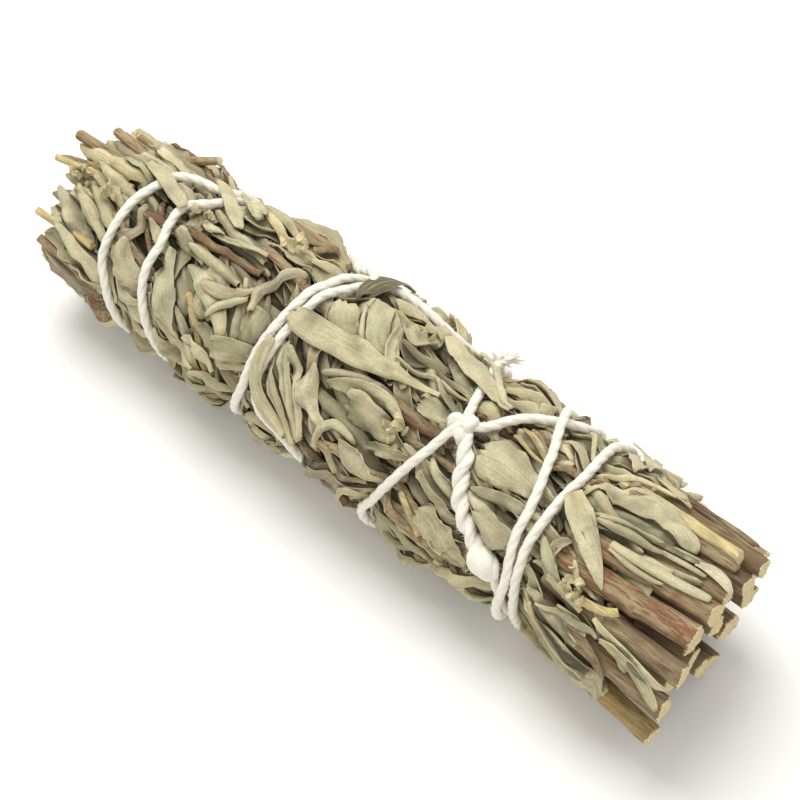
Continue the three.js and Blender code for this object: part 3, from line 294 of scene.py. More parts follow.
# Leaves and twigs drawn over the photograph: x, y at the base, the middle and the tip in its
# 800 pixel frame, width in pixels, form, tone. Forms: r ridged, c channelled, f flat, b flat with
# a blunt wavy tip, e flat and even, p flat and pointed, s long even strand, t twig.
STROKES = [
    (100, 262, 90, 222, 72, 186, 18, "f", 0.55), (84, 250, 62, 215, 50, 182, 22, "f", 0.72),
    (88, 268, 62, 238, 40, 208, 12, "r", 0.5), (94, 284, 62, 258, 36, 240, 13, "r", 0.35),
    (98, 292, 78, 258, 56, 224, 14, "r", 0.6), (118, 322, 92, 292, 70, 264, 20, "f", 0.4),
    (112, 306, 96, 280, 92, 252, 12, "r", 0.45), (150, 176, 112, 156, 78, 132, 22, "r", 0.98),
    (176, 168, 146, 150, 118, 132, 16, "r", 0.8), (128, 172, 88, 156, 54, 149, 12, "t", 0.72),
    (206, 176, 184, 162, 160, 148, 15, "b", 0.85), (166, 190, 150, 170, 126, 158, 16, "f", 0.6),
    (122, 212, 110, 186, 96, 166, 20, "b", 0.5), (140, 196, 118, 178, 100, 162, 14, "r", 0.88),
    (108, 234, 100, 206, 88, 180, 16, "r", 0.42), (124, 250, 134, 222, 144, 200, 14, "r", 0.42),
    (138, 312, 112, 282, 106, 244, 12, "r", 0.5), (146, 306, 126, 274, 130, 238, 24, "f", 0.6),
    (166, 262, 156, 238, 150, 218, 14, "f", 0.65), (262, 272, 204, 238, 142, 211, 11, "t", 0.42),
    (172, 344, 160, 300, 168, 244, 24, "f", 0.8), (222, 338, 210, 296, 184, 262, 22, "r", 0.66),
    (196, 366, 160, 330, 144, 284, 9, "r", 0.5), (184, 362, 152, 330, 150, 292, 7, "c", 0.3),
    (212, 372, 196, 348, 180, 338, 15, "f", 0.72), (244, 376, 214, 350, 200, 322, 18, "f", 0.4),
    (226, 344, 218, 318, 214, 296, 8, "t", 0.86), (238, 352, 248, 330, 262, 308, 27, "b", 0.36),
    (268, 366, 240, 354, 216, 342, 25, "b", 0.3), (254, 288, 232, 294, 206, 284, 16, "f", 0.55),
    (252, 312, 266, 284, 308, 278, 14, "r", 0.6), (200, 262, 186, 242, 172, 228, 16, "b", 0.5),
    (238, 284, 214, 262, 190, 244, 13, "r", 0.5), (266, 264, 240, 234, 218, 200, 14, "r", 0.55),
    (284, 234, 256, 222, 238, 202, 15, "c", 0.8), (308, 290, 274, 258, 240, 238, 11, "t", 0.62),
    (330, 266, 292, 244, 262, 216, 10, "r", 0.98), (268, 262, 236, 244, 204, 222, 8, "c", 0.85),
    (306, 246, 272, 222, 242, 198, 9, "r", 0.6), (224, 232, 214, 226, 204, 228, 10, "b", 0.85),
    (268, 248, 290, 256, 312, 272, 14, "f", 0.75), (216, 214, 204, 206, 190, 214, 9, "c", 0.8),
    (250, 300, 226, 304, 212, 316, 9, "r", 0.7), (196, 326, 190, 308, 182, 292, 8, "t", 0.9),
    (372, 366, 348, 338, 344, 304, 32, "b", 0.6),
    (392, 384, 372, 350, 374, 308, 9, "c", 0.4), (386, 378, 364, 348, 366, 314, 7, "r", 0.8),
    (400, 380, 378, 342, 388, 308, 24, "b", 0.66), (398, 370, 392, 350, 402, 334, 14, "c", 0.7),
    (436, 364, 414, 354, 406, 338, 16, "b", 0.56), (446, 332, 422, 346, 404, 330, 15, "c", 0.5),
    (444, 326, 424, 316, 396, 300, 14, "f", 0.66), (410, 294, 388, 290, 362, 297, 17, "f", 0.02),
    (298, 436, 271, 388, 277, 338, 13, "s", 0.5), (300, 438, 283, 388, 281, 338, 9, "s", 0.62),
    (303, 438, 289, 388, 287, 340, 8, "s", 0.72), (304, 434, 298, 390, 291, 346, 9, "s", 0.6),
    (298, 442, 263, 400, 257, 362, 11, "s", 0.42), (300, 440, 277, 392, 271, 350, 6, "s", 0.3),
    (324, 424, 308, 396, 316, 362, 17, "f", 0.76), (400, 426, 376, 386, 322, 372, 12, "r", 0.6),
    (402, 436, 386, 402, 326, 382, 18, "f", 0.5), (410, 458, 380, 428, 348, 402, 34, "b", 0.5),
    (318, 444, 330, 424, 354, 446, 10, "r", 0.7), (384, 494, 362, 468, 342, 438, 22, "f", 0.5),
    (408, 462, 384, 450, 362, 446, 12, "c", 0.66), (452, 442, 412, 418, 374, 384, 15, "t", 0.4),
    (430, 534, 384, 486, 318, 440, 11, "t", 0.68), (362, 486, 304, 462, 268, 440, 9, "r", 0.2),
    (384, 502, 330, 476, 282, 450, 9, "c", 0.35), (504, 420, 476, 384, 454, 346, 25, "r", 0.6),
    (514, 420, 504, 400, 492, 384, 7, "t", 0.9), (470, 396, 430, 374, 396, 360, 6, "r", 0.9),
    (476, 398, 440, 368, 402, 346, 9, "r", 0.1), (470, 426, 442, 412, 418, 400, 23, "b", 0.5),
    (470, 534, 446, 500, 428, 456, 12, "r", 0.66), (462, 548, 440, 512, 418, 470, 10, "c", 0.5),
    (412, 462, 410, 452, 407, 444, 7, "r", 0.8), (462, 568, 440, 536, 420, 508, 25, "b", 0.42),
    (420, 534, 410, 512, 396, 494, 7, "t", 0.95), (440, 574, 404, 540, 368, 508, 6, "r", 0.45),
    (430, 580, 396, 546, 360, 516, 6, "r", 0.2), (444, 560, 410, 528, 380, 494, 9, "t", 0.6),
    (556, 506, 520, 474, 482, 450, 46, "b", 0.62), (544, 522, 506, 502, 470, 488, 14, "f", 0.3),
    (524, 562, 496, 536, 476, 512, 27, "b", 0.42), (546, 456, 530, 446, 516, 426, 5, "t", 0.95),
    (552, 458, 540, 446, 524, 428, 4, "t", 0.9), (560, 452, 546, 440, 534, 426, 5, "t", 0.85),
    (656, 504, 604, 480, 552, 458, 9, "t", 0.66), (580, 492, 641, 500, 698, 552, 25, "f", 0.62),
    (590, 512, 642, 530, 700, 562, 8, "s", 0.5),
    (598, 526, 650, 544, 706, 576, 6, "s", 0.6), (600, 518, 654, 536, 712, 566, 5, "s", 0.35),
    (596, 520, 630, 536, 664, 552, 9, "r", 0.2), (552, 576, 554, 550, 572, 542, 13, "c", 0.8),
    (580, 592, 578, 574, 576, 560, 6, "r", 0.85), (560, 590, 550, 562, 538, 534, 12, "r", 0.6),
    (580, 612, 556, 584, 530, 562, 12, "r", 0.45), (580, 642, 552, 614, 526, 588, 12, "r", 0.4),
    (556, 606, 570, 620, 582, 640, 18, "b", 0.7), (566, 500, 576, 528, 590, 556, 10, "c", 0.6),
    (594, 618, 622, 652, 665, 694, 13, "f", 0.68), (524, 612, 566, 648, 604, 690, 19, "e", 0.66),
    (600, 640, 622, 654, 662, 706, 9, "c", 0.4), (612, 545, 660, 575, 711, 602, 9, "s", 0.62),
    (696, 562, 716, 574, 732, 594, 11, "c", 0.8), (620, 448, 630, 456, 640, 472, 16, "b", 0.85),
    (636, 438, 650, 454, 660, 476, 14, "c", 0.66), (598, 454, 620, 474, 640, 488, 14, "f", 0.1),
    (600, 470, 644, 484, 686, 504, 7, "s", 0.95), (620, 612, 600, 610, 574, 596, 9, "t", 0.98),
    (532, 600, 556, 640, 590, 672, 10, "c", 0.3), (560, 430, 580, 446, 594, 470, 14, "f", 0.5),
    (592, 432, 598, 446, 598, 462, 6, "r", 0.85), (498, 396, 528, 404, 546, 420, 14, "b", 0.6),
    (508, 384, 536, 398, 560, 408, 12, "r", 0.5), (540, 408, 556, 414, 572, 426, 9, "c", 0.7),
    (472, 352, 452, 340, 428, 322, 14, "r", 0.6), (438, 380, 446, 394, 462, 410, 10, "f", 0.4),
    (668, 480, 712, 512, 756, 548, 13, "t", 0.3), (652, 474, 672, 492, 690, 510, 10, "c", 0.9),
    (610, 550, 640, 574, 664, 586, 5, "r", 0.3), (676, 530, 706, 548, 738, 570, 12, "t", 0.25),
    (540, 600, 574, 622, 600, 636, 8, "f", 0.25), (566, 622, 590, 646, 608, 672, 9, "t", 0.5),
    (340, 500, 352, 486, 376, 520, 7, "r", 0.5), (300, 470, 336, 488, 366, 508, 8, "t", 0.5),
    (246, 424, 262, 440, 284, 452, 9, "f", 0.4), (254, 400, 262, 424, 276, 444, 8, "r", 0.5),
    (312, 262, 334, 270, 356, 276, 9, "r", 0.9), (312, 252, 336, 258, 362, 268, 8, "t", 0.5),
    (150, 330, 168, 352, 190, 372, 12, "f", 0.35), (196, 368, 214, 382, 232, 396, 11, "r", 0.3),
]
# Leaves drawn in the same way that lie over the twine
OVER_TWINE = [
    (148, 158, 168, 182, 184, 208, 16, "e", 0.6), (222, 182, 231, 204, 240, 228, 15, "e", 0.64),
    (240, 188, 250, 206, 260, 224, 12, "b", 0.6),
    (440, 396, 366, 359, 292, 317, 29, "b", 0.56), (290, 432, 261, 388, 276, 338, 14, "s", 0.5),
    (414, 294, 386, 290, 357, 303, 23, "f", 0.0), (452, 340, 478, 376, 508, 413, 27, "p", 0.62),
    (486, 350, 498, 384, 511, 411, 8, "s", 0.75), (638, 438, 649, 458, 657, 479, 15, "f", 0.76),
    (573, 494, 588, 538, 604, 590, 25, "p", 0.66),
]
# Small curled flower buds: x, y in the same frame and how many there are in the cluster
BUDS = [(76, 166, 11), (574, 588, 9), (290, 252, 7), (394, 428, 8), (206, 212, 5), (108, 186, 4)]

# The grid over s and a that heights are kept on
GRID_START = -68.0
GRID_ROWS = 272
GRID_COLS = 180
COL_DEG = 360 / GRID_COLS
DEG_MM = MEAN_RADIUS * math.pi / 180

# The camera that the photograph was taken with, and its place over the bundle
VIEW_AZIMUTH = 42.5
VIEW_ELEVATION = 51.5
VIEW_DISTANCE = 328.0
VIEW_FOCAL_PIXELS = 2227.0
VIEW_SIZE = 800.0
VIEW_CENTRE = (388.0, 406.0)
PIXELS_PER_MM = 6.8
SENSOR_MM = 36.0

# The stage, in metres: half the floor, the two lamps and what they aim at
FLOOR_HALF = 3.0
KEY_PLACE = (-0.18, 0.10, 0.55)
KEY_SIZE = 0.45
FILL_PLACE = (0.5, -0.45, 0.45)
FILL_SIZE = 0.5
FILL_SHARE = 0.35
LAMP_AIM = (0, 0, 0.01)
SKY_COLOUR = (1.0, 0.99, 0.97, 1.0)
NEAREST_SEEN = 0.01

# Grids and leaves that are worked out once and used by several pieces
kept = {}


def linear(hexa):
    """Linear colour, with alpha, of an sRGB hex colour."""
    parts = [int(hexa[i:i + 2], 16) / 255 for i in (1, 3, 5)]
    return [p / 12.92 if p <= 0.04045 else ((p + 0.055) / 1.055) ** 2.4 for p in parts] + [1.0]


def colour_property(name, hexa, text):
    return FloatVectorProperty(name=name, description=text, subtype="COLOR", size=4,
                               min=0.0, max=1.0, default=linear(hexa))


# Settings shown in the sidebar


class SageLeafSettings(bpy.types.PropertyGroup):
    sage: colour_property("Sage", "#C9C19A", "Main colour of a dried leaf")
    pale: colour_property("Pale sage", "#DDD5B3", "Colour of the palest leaves")
    deep: colour_property("Deep sage", "#7E7658", "Colour of the darkest leaves")
    straw: colour_property("Straw", "#E3D2A2", "Colour of ribs, rims and yellowed leaves")
    thickness: FloatProperty(name="Thickness", description="Thickness of a leaf", default=0.0003,
                             min=0.0001, unit="LENGTH", precision=5)
    curl: FloatProperty(name="Curl", description="How far the rims of free leaves rise",
                        default=0.0007, min=0.0, unit="LENGTH", precision=5)


class SageTwineSettings(bpy.types.PropertyGroup):
    cotton: colour_property("Cotton", "#F3EFE3", "Colour of the cotton twine")
    ply_radius: FloatProperty(name="Ply radius", description="Radius of one ply", default=0.00054,
                              min=0.0001, unit="LENGTH", precision=5)
    ply_offset: FloatProperty(name="Ply offset", description="Distance of a ply from the middle",
                              default=0.0002, min=0.0, unit="LENGTH", precision=5)
    pitch: FloatProperty(name="Pitch", description="Length of one turn of the plies",
                         default=0.0068, min=0.001, unit="LENGTH", precision=5)
    plies: IntProperty(name="Plies", description="Number of plies", default=3, min=1)
    fuzz: IntProperty(name="Fuzz", description="Loose fibres on the twine", default=7000, min=0)
    seed: IntProperty(name="Seed", description="Seed of the loose fibres", default=7)


class SageStemSettings(bpy.types.PropertyGroup):
    bark: colour_property("Bark", "#9A8464", "Main colour of the bark")
    dark_bark: colour_property("Dark bark", "#6A5640", "Colour of dark bark")
    red_bark: colour_property("Red bark", "#8C5840", "Colour of the red streaks")
    peeled: colour_property("Peeled stem", "#E8D69A", "Colour of a stem with no bark")
    pith: colour_property("Cut end", "#E2D0A2", "Colour of a cut end")


class SageStageSettings(bpy.types.PropertyGroup):
    floor: colour_property("Floor", "#F7F6F3", "Colour of the floor")
    key_power: FloatProperty(name="Key light", description="Power of the main light", default=2.7,
                             min=0.0, unit="POWER")
    sky: FloatProperty(name="Sky", description="Strength of the even light", default=0.66, min=0.0)


# Places and grids on the unrolled surface


def smooth(low, high, value):
    """Smooth step from 0 at low to 1 at high."""
    t = np.clip((value - low) / (high - low), 0, 1)
    return t * t * (3 - 2 * t)


def turn_between(a, b):
    """Degrees from b to a, the shorter way round."""
    return ((a - b) % 360 + 540) % 360 - 180


def away_from(a, b):
    """Degrees between two directions round the bundle."""
    return np.abs(turn_between(a, b))


def walked_along(points):
    """Distance along a path at each of its points."""
    return np.concatenate([[0], np.cumsum(np.linalg.norm(np.diff(points, axis=0), axis=1))])


def place(s, a, r):
    """Points in metres at a place on the bundle."""
    turn = np.radians(a)
    s, turn, r = np.broadcast_arrays(np.asarray(s, float), turn, np.asarray(r, float))
    x = s + SHIFT_X
    y = SHIFT_Y - WIDE * r * np.sin(turn)
    z = AXIS_HEIGHT + FLAT * r * np.cos(turn)
    return np.stack([x, y, z], axis=-1) * MM


def outward(a):
    """Unit way outwards at a degrees round."""
    turn = np.radians(a)
    return np.stack([np.zeros_like(turn), -np.sin(turn), np.cos(turn)], axis=-1)


def read_table(table, s):
    return np.interp(s, [row[0] for row in table], [row[1] for row in table])


def grid_at(grid, s, a):
    """Value of a grid between its cells."""
    row = np.clip((s - GRID_START) / CELL, 0, GRID_ROWS - 1.001)
    col = (a / COL_DEG) % GRID_COLS
    i = np.floor(row).astype(int)
    j = np.floor(col).astype(int) % GRID_COLS
    fi = row - i
    fj = col - np.floor(col)
    j2 = (j + 1) % GRID_COLS
    low = grid[i, j] * (1 - fj) + grid[i, j2] * fj
    high = grid[i + 1, j] * (1 - fj) + grid[i + 1, j2] * fj
    return low * (1 - fi) + high * fi


def curve_through(places, step):
    """Evenly spaced (s, a) along a centripetal curve through the listed places."""
    p = np.array([(s, a * DEG_MM) for s, a in places], float)
    p = np.vstack([2 * p[0] - p[1], p, 2 * p[-1] - p[-2]])
    fine = []
    for k in range(1, len(p) - 2):
        p0, p1, p2, p3 = p[k - 1:k + 3]
        d1 = np.linalg.norm(p1 - p0) ** 0.5
        d2 = np.linalg.norm(p2 - p1) ** 0.5
        d3 = np.linalg.norm(p3 - p2) ** 0.5
        m1 = (p1 - p0) / d1 - (p2 - p0) / (d1 + d2) + (p2 - p1) / d2
        m2 = (p2 - p1) / d2 - (p3 - p1) / (d2 + d3) + (p3 - p2) / d3
        m1, m2 = m1 * d2, m2 * d2
        t = np.linspace(0, 1, 25)[:-1, None]
        fine.append(p1 + m1 * t + (3 * (p2 - p1) - 2 * m1 - m2) * t ** 2
                    + (2 * (p1 - p2) + m1 + m2) * t ** 3)
    fine = np.vstack(fine + [p[-2:-1]])
    walked = walked_along(fine)
    count = max(4, round(walked[-1] / step))
    at = np.linspace(0, walked[-1], count + 1)
    s = np.interp(at, walked, fine[:, 0])
    a = np.interp(at, walked, fine[:, 1]) / DEG_MM
    return s, a


def near_route_grid(routes):
    """Distance in mm to the nearest strand, on the grid, for the cells near one."""
    grid = np.full((GRID_ROWS, GRID_COLS), FAR_FROM_TWINE)
    reach = 9
    span = np.arange(-reach, reach + 1)
    for s_list, a_list in routes:
        for s, a in zip(s_list, a_list):
            rows = math.floor((s - GRID_START) / CELL + 0.5) + span
            cols = math.floor(a / COL_DEG + 0.5) + span
            rows = rows[(rows >= 0) & (rows < GRID_ROWS)]
            gap = np.hypot((GRID_START + rows * CELL - s)[:, None],
                           ((cols * COL_DEG - a) * DEG_MM)[None, :])
            block = np.ix_(rows, cols % GRID_COLS)
            grid[block] = np.minimum(grid[block], gap)
    return grid


def twine_gap_grid():
    if "gap" not in kept:
        kept["routes"] = [curve_through(r, FINE_STEP) for r in (LONG_ROUTE, LOOP_ROUTE, CORD_ROUTE)]
        kept["gap"] = near_route_grid(kept["routes"])
    return kept["gap"]


def envelope(s, a):
    """Radius of the bundle at a place, with the grooves that the twine presses."""
    gap = grid_at(twine_gap_grid(), s, a)
    groove = GROOVE_DEPTH * np.exp(-((gap / GROOVE_REACH) ** 2))
    far = 1 - smooth(0, OUTLINE_SPREAD, away_from(a, FAR_OUTLINE_AT))
    near = 1 - smooth(0, OUTLINE_SPREAD, away_from(a, NEAR_OUTLINE_AT))
    body = (read_table(BODY_RADIUS, s) + far * read_table(FAR_OUTLINE, s)
            + near * read_table(NEAR_OUTLINE, s))
    bedded = ((1 - smooth(BED_SPREAD * 0.6, BED_SPREAD * 1.3, away_from(a, 180)))
              * smooth(BED_ENDS[0] - 6, BED_ENDS[0], s)
              * (1 - smooth(BED_ENDS[1], BED_ENDS[1] + 6, s)))
    return body * (1 - bedded) + BED_RADIUS * bedded - groove


# The photograph's view, and what lies under one of its pixels


def view_frame():
    """Axes of the view and the place of the eye, in millimetres."""
    az = math.radians(VIEW_AZIMUTH)
    el = math.radians(VIEW_ELEVATION)
    toward = np.array([math.sin(az) * math.cos(el), -math.cos(az) * math.cos(el), math.sin(el)])
    right = np.array([math.cos(az), math.sin(az), 0])
    up = np.array([-math.sin(az) * math.sin(el), math.cos(az) * math.sin(el), math.cos(el)])
    middle = np.array([SHIFT_X, SHIFT_Y, AXIS_HEIGHT])
    half = VIEW_SIZE / 2
    per_pixel = VIEW_DISTANCE / VIEW_FOCAL_PIXELS
    target = (middle - right * ((VIEW_CENTRE[0] - half) * per_pixel)
              + up * ((VIEW_CENTRE[1] - half) * per_pixel))
    return toward, right, up, target + toward * VIEW_DISTANCE


def under_pixel(x, y):
    """Place (s, a) on the bundle that the view shows at a pixel."""
    toward, right, up, eye = view_frame()
    half = VIEW_SIZE / 2
    ray = -toward * VIEW_FOCAL_PIXELS + right * (x - half) + up * (half - y)
    ey, ez = eye[1] / WIDE, (eye[2] - AXIS_HEIGHT) / FLAT
    ry, rz = ray[1] / WIDE, ray[2] / FLAT
    square = ry * ry + rz * rz
    cross = ey * ry + ez * rz
    inside = max(0.0, cross * cross - square * (ey * ey + ez * ez - MEAN_RADIUS ** 2))
    point = eye + ray * ((-cross - math.sqrt(inside)) / square)
    a = math.degrees(math.atan2(-point[1] / WIDE, (point[2] - AXIS_HEIGHT) / FLAT))
    return point[0] - SHIFT_X, a


# Leaves laid one over another


def seeded_random(seed):
    state = seed

    def draw():
        nonlocal state
        state = (state * 1664525 + 1013904223) & 0xFFFFFFFF
        return state / 4294967296
    return draw


def flow(s, a):
    """Direction of the leaves in degrees: they lean in front and lie along the bundle behind."""
    lean = next(degrees for end, degrees in LEAN if s < end)
    return lean * (1 - float(smooth(20, 80, away_from(a, FRONT_AT)))) + 4


def near_tips(a):
    """How far towards the cut end the leaf tips reach: less over the stems of the far side."""
    return NEAR_TIPS - BARE_STEMS * (1 - float(smooth(15, 45, away_from(a, BARE_STEMS_AT))))


def bent_line(s0, a0, heading, bend, length):
    """Middle line of a leaf round its middle point: s, a and direction."""
    count = math.ceil(length / CELL) + 1
    t = np.arange(count) / (count - 1)
    turn = np.radians(heading + bend * (t - 0.5))
    step = length / (count - 1)
    s = np.concatenate([[0], np.cumsum(np.cos(turn) * step)[:-1]])
    u = np.concatenate([[0], np.cumsum(np.sin(turn) * step)[:-1]])
    middle = count // 2
    return s0 + s - s[middle], a0 + (u - u[middle]) / DEG_MM, turn


def drawn_line(stroke):
    """Middle line of a leaf drawn over the photograph."""
    p = np.array([under_pixel(*stroke[k:k + 2]) for k in (0, 2, 4)])
    p[:, 1] *= DEG_MM
    t = np.linspace(0, 1, 60)[:, None]
    fine = p[0] * (1 - t) * (1 - 2 * t) + p[1] * 4 * t * (1 - t) + p[2] * t * (2 * t - 1)
    walked = walked_along(fine)
    at = np.linspace(0, walked[-1], math.ceil(walked[-1] / CELL) + 2)
    s = np.interp(at, walked, fine[:, 0])
    u = np.interp(at, walked, fine[:, 1])
    return s, u / DEG_MM, np.arctan2(np.gradient(u), np.gradient(s))


def scattered_leaves():
    """Broad leaves all round, in layers, each on its own cell of a lattice."""
    draw = seeded_random(LEAF_SEED)
    leaves = []
    for layer in range(SCATTER_LAYERS):
        for i in range(SCATTER_ROWS):
            for j in range(SCATTER_COLS):
                row = i + 0.1 + 0.8 * draw()
                middle = SCATTER_START + row * (SCATTER_LENGTH / SCATTER_ROWS)
                a = ((j + 0.15 + 0.7 * draw()) * 360) / SCATTER_COLS + layer * 9
                back = 180 if draw() < 0.6 else 0
                heading = flow(middle, a) + back + (draw() - 0.5) * 30
                bend = (draw() - 0.5) * 50
                length = 24 + 12 * draw()
                width = 4.6 + 2.6 * draw()
                fold = 0.7 if draw() < 0.25 else 0.35 * draw()
                lift = 0.5 * draw()
                reach = 0.5 * length
                low = FAR_TIPS + 3 * draw() + reach
                high = near_tips(a) - 6 * draw() - reach
                s = min(high, max(low, middle))
                leaves.append({"line": bent_line(s, a, heading, bend, length), "width": width,
                               "form": "f" if fold < 0.2 else "r" if fold < 0.5 else "c",
                               "tone": even_tone(len(leaves)), "lift": lift, "layer": layer,
                               "step": LEAF_THICK})
    return leaves


def even_tone(number):
    """Tone of a numbered leaf, evenly mixed."""
    return 0.18 + 0.62 * ((number * EVEN_TONE_STEP) % 1)


def seen_leaves():
    """The leaves seen in front, which the solid has too."""
    draw = seeded_random(LEAF_SEED + 1)
    leaves = []
    for s, a, heading, bend, length, width, fold in SEEN_LEAVES:
        leaves.append({"line": bent_line(s, a, heading, bend, length), "width": width,
                       "form": "r" if fold > 0.35 else "f", "tone": even_tone(len(leaves) + 3),
                       "lift": 0.5 * draw(), "layer": SCATTER_LAYERS, "step": LEAF_THICK})
    return leaves


def narrow_leaves():
    """Narrow folded leaves and twigs all round."""
    draw = seeded_random(LEAF_SEED + 2)
    leaves = []
    for number in range(STRIPS):
        s = STRIPS_START + STRIPS_LENGTH * ((number * EVEN_STEP_ALONG) % 1)
        a = 360 * ((number * EVEN_STEP_ROUND) % 1)
        back = 180 if draw() < 0.6 else 0
        heading = flow(s, a) + back + (draw() - 0.5) * 56
        bend = (draw() - 0.5) * 70
        length = 10 + 13 * draw()
        width = 1.5 + 2.4 * draw() * draw()
        kind = draw()
        form = "t" if kind < 0.1 else "r" if kind < 0.55 else "c" if kind < 0.8 else "b"
        tone = 0.1 + 0.85 * draw()
        lift = 0.6 * draw()
        s = min(near_tips(a) - 0.5 * length, max(FAR_TIPS + 0.5 * length, s))
        width = width * 0.6 if form == "t" else width * 1.6 if form == "b" else width
        leaves.append({"line": bent_line(s, a, heading, bend, length), "width": width,
                       "form": form, "tone": tone, "lift": lift, "layer": NARROW_LAYER,
                       "step": NARROW_THICK})
    return leaves


def drawn_leaves():
    """Leaves and twigs drawn over the photograph, with those over the twine last."""
    draw = seeded_random(LEAF_SEED + 3)
    twigs_first = sorted(STROKES, key=lambda stroke: stroke[7] != "t")
    return [{"line": drawn_line(stroke), "width": stroke[6] / PIXELS_PER_MM, "form": stroke[7],
             "tone": stroke[8], "lift": 0.7 * draw(), "layer": DRAWN_LAYER, "step": DRAWN_THICK,
             "over": stroke in OVER_TWINE}
            for stroke in twigs_first + OVER_TWINE]


# Share of the width at the base, place of the widest part, and roundness of the tip
OUTLINES = {"r": (0.5, 0.38, 2.5), "c": (0.48, 0.4, 2.4), "f": (0.3, 0.52, 1.9),
            "b": (0.2, 0.72, 3.6), "t": (0.85, 0.3, 7.0), "s": (0.8, 0.3, 5.0),
            "p": (0.7, 0.2, 1.5), "e": (0.75, 0.35, 4.0)}


def leaf_outline(t, form):
    """Share of its full width that a leaf has along its length."""
    neck, widest, roundness = OUTLINES[form]
    base = neck + (1 - neck) * smooth(0, widest, t)
    past = np.clip((t - widest) / (1 - widest), 0, 0.992)
    return base * (1 - past ** roundness) ** (1 / roundness)


def relief(form, v, full, width, lift):
    """Height of a leaf's cross-section above its seat."""
    if form == "t":
        round_side = np.sqrt(np.clip(1 - 0.96 * v ** 2, 0, 1))
        cracks = 0.05 * np.cos(9 * v + 4 * full + width) + 0.03 * np.cos(17 * v - 3 * full)
        return (0.5 * width * round_side - 0.14 * width + cracks * min(1.0, width)) * full
    if form in "rs":
        return min(0.9, 0.34 * width) * (1 - 1.5 * v ** 2) * full
    if form == "c":
        return min(0.85, 0.3 * width) * (1.6 * v ** 2 - 0.25) * full
    return (0.22 * (1 - v ** 2) + 0.5 * lift * v) * full


def drape(leaf, stack):
    """Lattice of a leaf and the height of its underside over the leaves below it."""
    s_line, a_line, turn = leaf["line"]
    width, form = leaf["width"], leaf["form"]
    half = max(2, math.ceil(width / CELL / 1.6))
    t = np.linspace(0, 1, len(s_line))
    v = np.arange(2 * half + 1) / half - 1
    full = leaf_outline(t, form)[:, None]
    side = 0.5 * width * full * v[None, :]
    if form in "bt":
        side = side * (1 + 0.06 * np.sin(9 * t + width) + 0.04 * np.sin(23 * t - width))[:, None]
    ps = s_line[:, None] - np.sin(turn)[:, None] * side
    if form == "b":
        scallop = 0.45 * np.cos(7.5 * v + width)[None, :] * smooth(0.75, 1, t)[:, None]
        ps = ps + np.cos(turn)[:, None] * scallop
    pa = a_line[:, None] + np.cos(turn)[:, None] * side / DEG_MM
    rest = grid_at(stack, ps, pa)
    height = rest.copy()
    for _ in range(6):
        edge = np.pad(height, 1, mode="edge")
        mean = 0.2 * (height + edge[:-2, 1:-1] + edge[2:, 1:-1] + edge[1:-1, :-2] + edge[1:-1, 2:])
        height = np.maximum(rest, mean)
    if form in "rcts":
        height = np.maximum(height.mean(axis=1, keepdims=True), height - 0.5)
    shape = relief(form, v[None, :], full, width, leaf["lift"])
    row = np.floor((ps - GRID_START) / CELL + 0.5).astype(int)
    col = np.floor(pa / COL_DEG + 0.5).astype(int) % GRID_COLS
    good = (row >= 0) & (row < GRID_ROWS)
    top = height + leaf["step"] + np.maximum(shape, 0) * 0.8
    np.maximum.at(stack, (row[good], col[good]), top[good])
    return dict(leaf, s=ps, a=pa, h=height, t=t, v=v, shape=shape, full=full)


def blurred(grid):
    """The grid averaged over its neighbourhood."""
    reach = 7
    for _ in range(2):
        round_sum = sum(np.roll(grid, d, axis=1) for d in range(-reach, reach + 1))
        grid = round_sum / (2 * reach + 1)
        padded = np.pad(grid, ((reach, reach), (0, 0)), mode="edge")
        grid = sum(padded[d:d + GRID_ROWS] for d in range(2 * reach + 1)) / (2 * reach + 1)
    return grid


def draped_leaves():
    """All leaves in order, each laid on the ones before it."""
    if "draped" not in kept:
        stack = np.zeros((GRID_ROWS, GRID_COLS))
        leaves = scattered_leaves() + seen_leaves() + narrow_leaves() + drawn_leaves()
        kept["draped"] = [drape(leaf, stack) for leaf in leaves]
        kept["stack"] = stack
        kept["mean"] = blurred(stack)
    return kept["draped"]


# Mesh building


class MeshParts:
    """Gathers closed shells with their point values into one mesh."""

    def __init__(self):
        self.points = []
        self.faces = []
        self.values = {}
        self.count = 0

    def add(self, points, quads, triangles=None, **values):
        """Adds one shell, with its faces turned outwards."""
        if triangles is None:
            triangles = np.zeros((0, 3), int)
        corners = np.vstack([quads[:, :3], quads[:, [0, 2, 3]], triangles])
        about = points - points.mean(axis=0)
        first, second, third = (about[corners[:, k]] for k in range(3))
        if (first * np.cross(second, third)).sum() < 0:
            quads, triangles = quads[:, ::-1], triangles[:, ::-1]
        self.points.append(points)
        self.faces += (quads + self.count).tolist() + (triangles + self.count).tolist()
        for name, value in values.items():
            self.values.setdefault(name, []).append(np.broadcast_to(value, (len(points),)))
        self.count += len(points)

    def build(self, name):
        mesh = bpy.data.meshes.new(name)
        mesh.from_pydata(np.vstack(self.points).tolist(), [], self.faces)
        for key, chunks in self.values.items():
            layer = mesh.attributes.new(key, "FLOAT", "POINT")
            layer.data.foreach_set("value", np.concatenate(chunks).astype(np.float32))
        mesh.polygons.foreach_set("use_smooth", np.ones(len(self.faces), bool))
        mesh.validate()
        piece = bpy.data.objects.new(name, mesh)
        bpy.context.scene.collection.objects.link(piece)
        return piece


